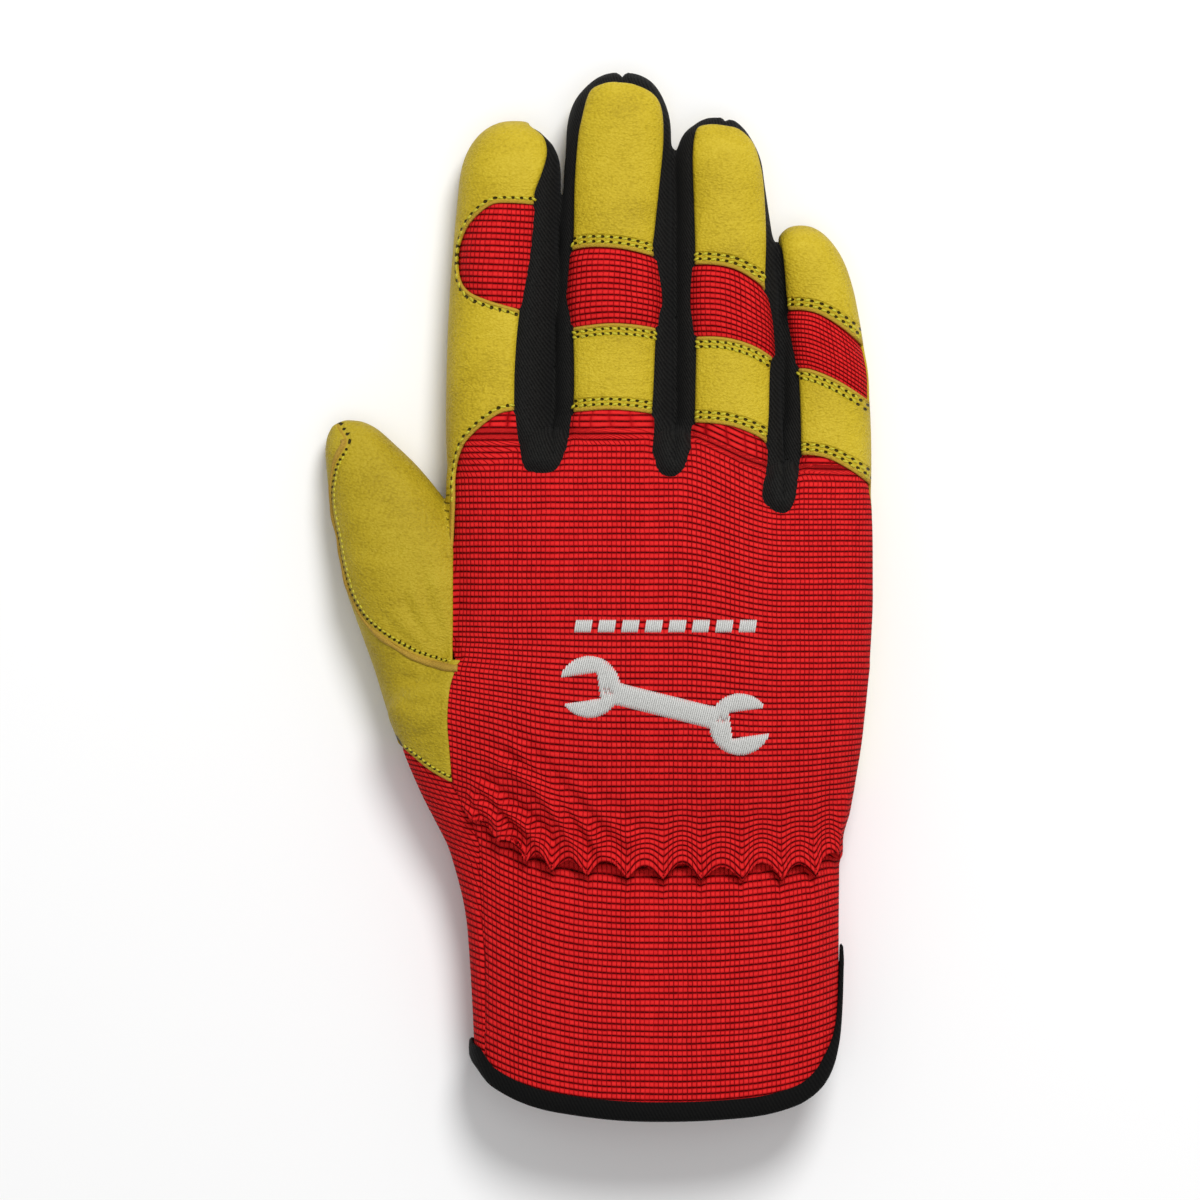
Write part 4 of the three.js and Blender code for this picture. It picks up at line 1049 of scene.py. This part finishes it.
def leather_finish(name, strength, pitch):
    """Fine pebbled goatskin. Beside its seams: a suede edge, and needle holes along the stitch rows, painted
    near black as painted shade.
    """
    f = Finish(name, 0.5, specular=0.14)
    place = f.object_place(y=1450)
    warp = f.add("ShaderNodeTexNoise", None, {"Vector": place, "Scale": 0.35, "Detail": 2.0}, "Color")
    bent = f.add("ShaderNodeVectorMath", {"operation": "ADD"}, {0: place, 1: warp})
    cells = f.add("ShaderNodeTexVoronoi", {"feature": "SMOOTH_F1"},
                  {"Vector": bent, "Scale": 1.5, "Smoothness": 0.5})
    grain = f.noise(bent, 1.2, 5.0, Roughness=0.65)
    patchy = f.noise(place, 0.05, 3.0)
    creases = f.noise(f.object_place(180, 900, 500), 0.8, 3.0)
    tone = patchy * 0.6 + grain * 0.5 - cells * 0.3 + creases * 0.15
    # A strength below one darkens every stop: painted shade on the thumb's copy of the goatskin.
    stops = [(at, tuple(strength * part for part in shade) + (1,)) for at, shade in LEATHER_STOPS]
    tanned = f.colours(tone, *stops)
    distance, along_seam = f.uv("seam")
    suede = ((SUEDE_EDGE - distance + f.noise(place, 2.0, 3.0) * 0.4) * 4.0).clipped()
    from_hole = (1 - (along_seam / pitch).from_middle()) * (0.5 * pitch)
    from_hole = (from_hole / (HOLE_SHARE * pitch)) ** 2.0
    holes, grooves = 0.0, 0.0
    for row in STITCH_ROWS:
        holes += (1.0 - ((distance - row) / HOLE_HALF) ** 2.0 - from_hole).of("MAXIMUM", 0.0)
        grooves += (1.0 - ((distance - row) / GROOVE_HALF) ** 2.0).of("MAXIMUM", 0.0)
    holes = holes.of("MINIMUM", 1.0)
    worn = f.blend(suede * 0.8, tanned, (0.42, 0.255, 0.03, 1))
    # Needle holes are painted near black, as painted shade inside the holes.
    colour = f.blend((holes * 2.5).of("MINIMUM", 0.93), worn, (0.02, 0.012, 0.002, 1))
    height = grain * 0.8 - cells * 0.6 + creases * 0.6 - grooves * 1.4 - holes * 2.5
    return f.set(Base_Color=colour, Normal=f.bump(height, 0.27), Roughness=0.47 + cells * 0.12 + suede * 0.35)


def black_finish(name, pitch, depth, tone):
    """Fine knit with a faint diagonal."""
    f = Finish(name, 0.85, sheen=0.02, specular=0.1)
    x, y, z = f.parts(f.object_place())
    fibres = f.noise(f.object_place(), 2.2, 4.0)
    twill = ((x + z * 0.25 + y * 0.56 + fibres * 0.5) * (2 * math.pi / pitch)).of("SINE") * 0.5 + 0.5
    colour = f.colours(twill * 0.5 + fibres * 0.9 - 0.3, (0.0, (0.0008, 0.0008, 0.0009, 1)),
                       (1.0, (0.019 * tone, 0.0185 * tone, 0.017 * tone, 1)))
    return f.set(Base_Color=colour, Normal=f.bump(twill * 0.6 + fibres, depth))


def thread_finish(name, dark, light, roughness, sheen):
    """Twisted sewing thread."""
    f = Finish(name, roughness, sheen=sheen, specular=0.4)
    fibres = f.noise(f.object_place(), 4.0, 3.0)
    return f.set(Base_Color=f.colours(fibres, (0.3, dark), (0.7, light)), Normal=f.bump(fibres, 0.1))


LEATHER = leather_finish("goatskin", 1.0, STITCH_PITCH)
# The thumb's copy of the goatskin is darker all over, as painted shade.
SHADED_THUMB_LEATHER = leather_finish("goatskin_thumb_shaded", 0.8, THUMB_PITCH)
RIB = rib_finish()
STRETCH = black_finish("stretch_knit", 0.7, 0.12, 1.0)
TAPE = black_finish("woven_tape", 0.9, 0.1, 0.3)
THREAD = thread_finish("olive_thread", (0.3, 0.26, 0.008, 1), (0.66, 0.58, 0.03, 1), 0.6, 0.0)
SUEDE = thread_finish("cut_leather_edge", (0.26, 0.15, 0.012, 1), (0.46, 0.29, 0.035, 1), 0.9, 0.0)
SILVER = thread_finish("silver_thread", (0.42, 0.42, 0.4, 1), (0.72, 0.72, 0.7, 1), 0.34, 0.3)


def finished(piece, material, slot, *nodes):
    piece.data.materials.append(material)
    if nodes:
        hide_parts(*nodes)
    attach(piece, "root")


# Sewn pieces: how far each outer face lies off the skin's form where it shows and where a neighbour covers it

LEATHER_OUT, LEATHER_SUNK, LEATHER_THICK = 0.5, -0.35, 0.85
RIB_OUT, RIB_SUNK, RIB_RAISED, RIB_THICK = 0.05, -0.5, 0.4, 0.9
BLACK_OUT, BLACK_THICK = 0.5, 0.8
HALF_LEATHER = LEATHER_THICK / 2
RED_TUCK = 1.5
UNDER_BLACK = 0.45
OVERLAP = 1.3


def leather_piece(name, levels, seam, hidden, *nodes):
    """Leather. It lies lower beside the black walls, and where it is hidden under the back of the hand."""
    rows, faces = patch(levels, [weave, np.column_stack(seam), np.minimum(-any_wall - UNDER_BLACK, hidden)])
    outside = mix(LEATHER_SUNK, LEATHER_OUT, smooth(rows[:, -1] / 1.5 + 0.3))
    piece = thicken(name, rows[:, :-1], faces, outside, LEATHER_THICK, ("weave", "seam"))
    # Thumb pieces, heel included, take the darker copy of the goatskin, with its painted shade.
    finished(piece, SHADED_THUMB_LEATHER if name.startswith("thumb") else LEATHER, "leather_yellow", *nodes)


def red_piece(name, levels, shown, raised, coordinates, *nodes):
    """Ribbed piece. Where it reaches under its neighbours it lies lower; its free edges are raised."""
    rows, faces = patch(levels, [coordinates, shown, raised])
    outside = mix(RIB_SUNK, RIB_OUT, smooth(rows[:, -2] / 1.3 + 0.35)) + RIB_RAISED * rows[:, -1]
    finished(thicken(name, rows[:, :-2], faces, outside, RIB_THICK), RIB, "rib_fabric_red", *nodes)


def black_piece(name, levels, lower, *nodes):
    """Wall between two fingers, lower where the leather's edge lies on it."""
    rows, faces = patch(levels, [weave, any_wall])
    outside = mix(0.0, BLACK_OUT, smooth(rows[:, -1] + 0.4)) - lower
    piece = thicken(name, rows[:, :-1], faces, outside, BLACK_THICK)
    finished(piece, STRETCH, "stretch_fabric_black", *nodes)


def finger_weave(i, low_seam, high_seam, span):
    """Weave coordinates on one finger's insert: round the finger, and from one seam to the other."""
    tall = FINGERS[i]["height"]
    left, right = line_x(i, skin_points[:, 1]), line_x(i + 1, skin_points[:, 1])
    up = (skin_points[:, 2] - FINGER_WIDEST * tall) / (0.58 * tall)
    turn = np.arctan2(up, (skin_points[:, 0] - (left + right) / 2) / ((right - left) / 2))
    share = low_seam / np.maximum(1.0, low_seam - high_seam)
    return np.column_stack((12.2 * (np.pi / 2 - turn), span * share))


def slope_length(normals, way):
    """Length on a slope of a unit step in plan."""
    fall = (normals[:, :2] * way).sum(1) / np.maximum(0.2, normals[:, 2])
    return np.hypot(1, fall)


def place_along(line):
    """Distance along a line, of its point nearest to each point of the skin, and how much longer the way
    from it is over the skin than in plan."""
    p = curve(line)
    near = around(Q, p, 8)
    gap, k, share, offset = nearest_on(p, Q, near)
    total = run_lengths(p)
    place, stretch = np.zeros(len(Q)), np.ones(len(Q))
    place[near] = mix(total[k], total[k + 1], share)
    stretch[near] = slope_length(plain_normals[near], offset / np.maximum(1e-6, gap)[:, None])
    return place, stretch


NAMES = ("index", "middle", "ring", "little")
SINGLE_ROW = 1.75
NOWHERE = np.full(len(Q), 40.0)
LEVEL = np.zeros(len(Q))
INSERT_RIBS = 19.5
shown_leather = -any_wall - UNDER_BLACK
for i in (1, 2, 3):
    name, inside_finger = NAMES[i], between_sides(i)
    (cap, cap_place), (top, top_place), (foot, foot_place) = caps[i], band_tops[i], band_feet[i]
    leather_piece(f"{name}_cap", [cap - HALF_LEATHER, upper - 0.2, shown_leather] + inside_finger,
                  (cap, cap_place), NOWHERE, f"{name}_tip_leather")
    band_seam = np.minimum(-top, foot), np.where(-top < foot, top_place, foot_place)
    leather_piece(f"{name}_band", [-top - HALF_LEATHER, foot - HALF_LEATHER, upper - 0.2, shown_leather]
                  + inside_finger, band_seam, NOWHERE, f"{name}_band_leather")
    red_piece(f"{name}_stretch_insert", [-cap + RED_TUCK, top + RED_TUCK, -any_wall - 0.1, upper]
              + inside_finger, np.minimum(-cap, top), LEVEL, finger_weave(i, top, cap, INSERT_RIBS),
              f"{name}_insert")

# The window's ribs run straight across, a little higher towards the next finger
window_round = finger_weave(0, Q[:, 1] - 79, Q[:, 1] - 104, 25.0)[:, 0]
window_weave = np.column_stack((window_round, skin_points[:, 1] + 0.04 * skin_points[:, 0]))
red_piece("index_stretch_insert", [window + RED_TUCK, -any_wall - 0.1, upper, -side_of[1]], window, LEVEL,
          window_weave, "index_insert")

# Over the fingertips two walls meet, one slightly lower than the other
WALL_NODES = ("fourchette_index_middle", "fourchette_middle_ring", "fourchette_ring_little")
wall_reach = mix(0.4, 1.6, smooth((Q[:, 1] - 121.5) / 1.5))
for i, node in enumerate(WALL_NODES):
    black_piece(f"side_wall_{i + 1}", [walls[i] + wall_reach, upper + 0.3], 0.12 * (i % 2), node)

# Above this height the back of the hand goes under the rolled index leather, below it over the thumb's
HEEL_TOP = -5.0
below_heel = smooth((HEEL_TOP + 0.5 - Q[:, 1]) / 3.0)
free_edge = np.exp(-np.maximum(0, from_hand_edge) / 2.0) * smooth(from_hand_edge + 2.0) * below_heel
red_piece("back_of_hand", [back + mix(RED_TUCK, 0.0, below_heel), -any_wall + 0.2, Q[:, 2] - seam_z, hem],
          mix(back, NOWHERE, below_heel), free_edge * (Q[:, 2] > SIDE_Z), weave, "back_panel")
not_back = np.maximum(-back, seam_z - Q[:, 2])
red_piece("cuff_underside", [RED_TUCK - leather_side, not_back + OVERLAP, hem],
          np.minimum(-leather_side, not_back), LEVEL, weave_low, "cuff_palm_panel")

((window_place, window_stretch), (hem_place, hem_stretch), (thumb_place, thumb_stretch),
 (heel_place, heel_stretch)) = (place_along(line) for line in (WINDOW, INDEX_HEM, THUMB_SEAM, HEEL_EDGE))
rolled = np.minimum.reduce([-back - HALF_LEATHER, -window - HALF_LEATHER, -side_of[1], Q[:, 1] - HEEL_TOP])
rolled_edge = np.minimum.reduce([-back * hem_stretch, -window * window_stretch, np.full(len(Q), SINGLE_ROW)])
rolled_edge = np.where(Q[:, 1] > 36.0, rolled_edge, np.minimum(1.0, -back))
rolled_edge = np.where(upper > -1.0, rolled_edge, SINGLE_ROW)
leather_piece("palm", [leather_side - HALF_LEATHER, -thumb_only, np.maximum(-upper, rolled),
                       np.maximum(shown_leather, -upper - 0.3)],
              (rolled_edge, np.where(-window < -back, window_place, hem_place)), NOWHERE, "palm_leather")

outside_thumb_back = np.maximum(-thumb_back, -thumb_only)
heel = np.minimum.reduce([-back + OVERLAP * below_heel, upper, HEEL_TOP - Q[:, 1], outside_thumb_back])
front = np.minimum(thumb_only, np.maximum(-thumb_back, -upper))
under_back = np.where((Q[:, 1] < HEEL_TOP + 2) & (Q[:, 2] > SIDE_Z), -back, NOWHERE)
leather_piece("thumb_front", [leather_side - HALF_LEATHER, np.maximum(front, heel) - 0.1],
              (np.minimum(leather_side * heel_stretch, SINGLE_ROW), heel_place), under_back,
              "thumb_front_leather")
thumb_edge = np.minimum((thumb_back + 0.2) * thumb_stretch, SINGLE_ROW)
leather_piece("thumb_back", [thumb_only, thumb_back - 0.2, upper], (thumb_edge, thumb_place), NOWHERE,
              "thumb_back_leather")


# Stitches, welt and embroidery, laid on the skin

lifted = skin_points + skin_normals * LEATHER_OUT
skin_tree = BVHTree.FromPolygons([tuple(p) for p in lifted], [tuple(f) for f in skin_faces.tolist()])


def on_skin(x, y):
    """Place and normal of the outermost skin straight above a point in plan."""
    place, normal, _, _ = skin_tree.ray_cast(Vector((x, y, 60.0)), Vector((0, 0, -1)))
    return place, normal


def walk(line, distance, side, step, start=0.0):
    """Places along a line at even steps, each moved to one side of it."""
    p = curve(line)
    total = run_lengths(p)

    def place(s):
        return np.array([np.interp(s, total, p[:, c]) for c in (0, 1)])

    for s in np.arange(start, total[-1], step):
        run = place(s + 0.4) - place(s - 0.4)
        way = run / np.hypot(*run)
        yield place(s) + distance * side * np.array((-way[1], way[0])), way


LUMP_SIDES = 6
LUMP_RINGS = ((-1.0, 0.25), (-0.72, 0.8), (0.0, 1.0), (0.72, 0.8), (1.0, 0.25))


LUMP_SIDES = 6
LUMP_RINGS = ((-1.0, 0.25), (-0.72, 0.8), (0.0, 1.0), (0.72, 0.8), (1.0, 0.25))


def lump(points, faces, centre, way, normal, half_length, half_width, half_height):
    """Adds one thread between two needle holes."""
    across = normal.cross(way).normalized()
    way = across.cross(normal)
    faces += tube(len(points), len(LUMP_RINGS), LUMP_SIDES)
    for at, size in LUMP_RINGS:
        for k in range(LUMP_SIDES):
            turn = 2 * math.pi * k / LUMP_SIDES
            points.append(centre + way * (at * half_length) + across * (half_width * size * math.cos(turn))
                          + normal * (half_height * (size * math.sin(turn) + size - 0.9)))


def mesh_piece(name, points, faces, material, slot):
    piece = new_piece(name, [tuple(Vector(p) * MM) for p in points], faces)
    piece.data.shade_smooth()
    finished(piece, material, slot)


THREAD_SLANT = 0.28


def stitches(name, rows, allowed, pitch=STITCH_PITCH):
    """Threads along several rows of needle holes, each a line, its distance and its side."""
    points, faces = [], []
    for line, distance, side in rows:
        for base, way in walk(line, 0.0, side, pitch, pitch / 2):
            _, normal = on_skin(*base)
            if normal is None or not allowed(base):
                continue
            aside = side * np.array((-way[1], way[0]))
            longer = slope_length(np.array([normal]), aside)[0]
            place = base + aside * distance / longer
            spot, normal = on_skin(*place)
            if spot is None or normal.z < 0.3 or not allowed(place):
                continue
            slanted = way + THREAD_SLANT * aside
            lump(points, faces, spot, Vector((slanted[0], slanted[1], 0)), normal, 0.39 * pitch,
                 0.1 + 0.13 * pitch, 0.33)
    mesh_piece(name, points, faces, THREAD, "leather_yellow")


def off_walls(place):
    return max(signed(np.array([[place[0], place[1], 0.0]]), outline)[0] for outline in WALLS) < -0.7


for i in (1, 2, 3):
    rows = [(line, row, side) for line, side in ((CAP[i], 1), (BAND_TOP[i], -1), (BAND_FOOT[i], 1))
            for row in STITCH_ROWS]
    stitches(f"{NAMES[i]}_stitches", rows, off_walls)
ROW = STITCH_ROWS[0]
stitches("index_stitches", [(WINDOW, ROW, -1), (INDEX_HEM[:8], ROW, -1)], off_walls)
stitches("thumb_stitches", [(THUMB_SEAM, ROW, 1), (HEEL_EDGE, ROW, 1)],
         lambda place: place[0] < -50.2 and place[1] < 46.0, THUMB_PITCH)

WELT_PROFILE = ((-0.62, -0.5), (-0.58, 0.28), (-0.25, 0.5), (0.25, 0.42), (0.55, 0.15), (0.62, -0.5))


WELT_STEP, WELT_THICK, WELT_WAVE, WELT_END = 0.6, 0.85, 0.3, 0.6


def welt(name, line, distance, side):
    """Raised cut edge of leather along a seam, thicker towards the seam's inner end."""
    points, count = [], 0
    for place, way in walk(line, distance, side, WELT_STEP):
        spot, normal = on_skin(*place)
        if spot is None or normal.z < 0.05:
            continue
        across = normal.cross(Vector((way[0], way[1], 0))).normalized()
        thick = WELT_THICK + WELT_WAVE * math.sin(count * 0.35) * math.sin(count * 0.13)
        thick += WELT_END * float(smooth((-2.0 - place[1]) / 4.0)) if place[0] > -66.0 else 0.0
        points += [spot + across * (a * thick) + normal * (b * thick) for a, b in WELT_PROFILE]
        count += 1
    mesh_piece(name, points, tube(0, count, len(WELT_PROFILE)), SUEDE, "leather_yellow")


welt("thumb_welt", THUMB_SEAM[1:], 0.5, -1)

# Generic motif in satin stitch: an open-ended spanner under a row of plain bars
SPANNER_CENTRE = (1.0, -15.5)
SPANNER_TURN = math.radians(-14)
SPANNER_HALF, HANDLE_HALF, HEAD_RADIUS, JAW_HALF = 18.5, 2.6, 7.4, 3.1
JAW_TURN = math.radians(22)
THREAD_PITCH, LONGEST_THREAD = 0.5, 9.0
BAR_ROW_Y, BAR_WIDTH, BAR_HEIGHT, BAR_PITCH, BAR_COUNT = 3.4, 3.6, 3.0, 5.6, 8


def in_spanner(s, t):
    inside = abs(s) < SPANNER_HALF and abs(t) < HANDLE_HALF + 0.9 * (abs(s) / SPANNER_HALF) ** 4
    for end in (-1, 1):
        ds, dt = s * end - SPANNER_HALF, t * end
        if math.hypot(ds, dt) < HEAD_RADIUS:
            a = ds * math.cos(JAW_TURN) + dt * math.sin(JAW_TURN)
            b = dt * math.cos(JAW_TURN) - ds * math.sin(JAW_TURN)
            inside = not (abs(b) < JAW_HALF and a > -2.2)
    return inside


SATIN_STEPS = 6
SATIN_PROFILE = ((-0.3, -0.6), (-0.2, 0.0), (0.0, 0.2), (0.2, 0.0), (0.3, -0.6))


def satin(name, scans):
    """Threads that cross a shape side by side, arched in the middle and sunk at both ends."""
    points, faces = [], []
    for start, end in scans:
        run = np.array(end) - np.array(start)
        length = float(np.hypot(*run))
        way = Vector((run[0] / length, run[1] / length, 0))
        faces += tube(len(points), SATIN_STEPS + 1, len(SATIN_PROFILE))
        for k in range(SATIN_STEPS + 1):
            at = k / SATIN_STEPS
            spot, normal = on_skin(*(np.array(start) + run * at))
            rise = 0.02 + 0.5 * min(1.0, length / 3.0) * math.sin(math.pi * at) ** 0.45 - LEATHER_OUT
            across = normal.cross(way).normalized()
            points += [spot + across * side + normal * (rise + up) for side, up in SATIN_PROFILE]
    mesh_piece(name, points, faces, SILVER, "rib_fabric_red")


def spanner_scans():
    c, s = math.cos(SPANNER_TURN), math.sin(SPANNER_TURN)

    def plan(u, v):
        return SPANNER_CENTRE[0] + u * c - v * s, SPANNER_CENTRE[1] + u * s + v * c

    reach = SPANNER_HALF + HEAD_RADIUS
    for row, u in enumerate(np.arange(-reach, reach, THREAD_PITCH)):
        vs = np.arange(-HEAD_RADIUS - 1, HEAD_RADIUS + 1, 0.1)
        inside = np.array([in_spanner(u, v) for v in vs])
        changes = np.flatnonzero(np.diff(inside.astype(int)))
        for a, b in zip(changes[::2], changes[1::2]):
            low, high = vs[a], vs[b]
            parts = max(1, math.ceil((high - low) / LONGEST_THREAD))
            cuts = np.linspace(low, high, parts + 1)
            cuts[1:-1] += 0.5 * math.sin(row * 2.4)
            for v0, v1 in zip(cuts, cuts[1:]):
                if v1 - v0 > 0.5:
                    yield plan(u, v0), plan(u, v1)


def bar_scans():
    for k in range(BAR_COUNT):
        left = SPANNER_CENTRE[0] + (k - BAR_COUNT / 2) * BAR_PITCH + (BAR_PITCH - BAR_WIDTH) / 2
        for x in np.arange(left, left + BAR_WIDTH, THREAD_PITCH):
            yield (x, BAR_ROW_Y - BAR_HEIGHT / 2), (x + 0.5, BAR_ROW_Y + BAR_HEIGHT / 2)


satin("embroidered_spanner", list(spanner_scans()))
satin("embroidered_bars", list(bar_scans()))


# Hem binding

def beside_hem(turns, distance, inset):
    """A line beside the hem, a distance from it and inset from the outer face of the cuff."""
    y = beside_hem_y(turns, distance)
    left, right, low, top = hand_section(y - 5.0 * np.abs(np.cos(turns)) ** 2.2)
    x, z = ring(turns, 0.0, left - inset, right - inset, low + inset, top - inset)
    return np.column_stack((x, y, z))


# Profile of the binding: inset from the outer face of the cuff, distance from the hem
BINDING = ((-0.35, 4.3), (-0.75, 4.6), (-1.15, 4.2), (-1.3, 2.6), (-1.3, 1.2), (-1.0, 0.3), (-0.2, -0.1),
           (0.6, -0.2), (1.4, -0.1), (2.2, 0.3), (2.5, 1.2), (2.5, 2.6), (2.35, 4.2), (1.95, 4.6),
           (1.55, 4.3), (1.45, 1.6), (0.6, 1.1), (-0.25, 1.6))


def binding():
    turns = np.linspace(0, 2 * np.pi, 240, endpoint=False)
    rings = np.array([beside_hem(turns, distance, inset) for inset, distance in BINDING]).transpose(1, 0, 2)
    points = rings.reshape(-1, 3)
    points[:, 2] = np.maximum(points[:, 2], 0.02)
    squares = np.array(quads(0, len(turns), len(BINDING), True))
    piece = build("hem_tape", points, np.zeros((0, 3), int), squares, np.zeros((len(points), 0)), ())
    outward(piece)
    finished(piece, TAPE, "stretch_fabric_black", "hem_binding")


binding()
bpy.data.objects.remove(body)

# Floor, light and camera

bpy.ops.mesh.primitive_plane_add(size=6.0, location=(0, 0, 0))
floor = bpy.context.view_layer.objects.active
floor.name = "floor"
floor_finish = Finish("pale_floor", 0.9, specular=0.1)
floor.data.materials.append(floor_finish.set(Base_Color=(0.9, 0.9, 0.9, 1)))

WORLD_LIGHT = 0.42
world = bpy.data.worlds.new("studio")
bpy.context.scene.world = world
world.use_nodes = True
background = world.node_tree.nodes["Background"]
background.inputs[0].default_value = (1, 1, 1, 1)
background.inputs[1].default_value = WORLD_LIGHT

VIEW_CENTRE = (-0.0144, 0.0096)
LIT_PLACE = Vector((-0.014, 0.01, 0.0))


def area_light(name, place, size, energy):
    light = bpy.data.lights.new(name, "AREA")
    light.shape = "DISK"
    light.size = size
    light.energy = energy
    lamp = bpy.data.objects.new(name, light)
    bpy.context.collection.objects.link(lamp)
    lamp.location = place
    lamp.rotation_euler = (LIT_PLACE - Vector(place)).to_track_quat("-Z", "Y").to_euler()


area_light("key", (0.3, 0.85, 1.35), 0.6, 19.0)
area_light("fill", (0.1, -0.2, 1.7), 1.2, 5.0)
bpy.context.scene.view_settings.view_transform = "Standard"

# The camera looks straight down and sees this width at the height of the glove's outline
VIEW_WIDTH = 0.288
CAMERA_HEIGHT, OUTLINE_HEIGHT = 2.0, 0.017
SENSOR = 36.0
camera_data = bpy.data.cameras.new("camera")
camera = bpy.data.objects.new("camera", camera_data)
bpy.context.collection.objects.link(camera)
camera_data.sensor_width = SENSOR
camera_data.lens = SENSOR * (CAMERA_HEIGHT - OUTLINE_HEIGHT) / VIEW_WIDTH
camera_data.clip_end = 20.0
camera.location = (*VIEW_CENTRE, CAMERA_HEIGHT)
bpy.context.scene.camera = camera
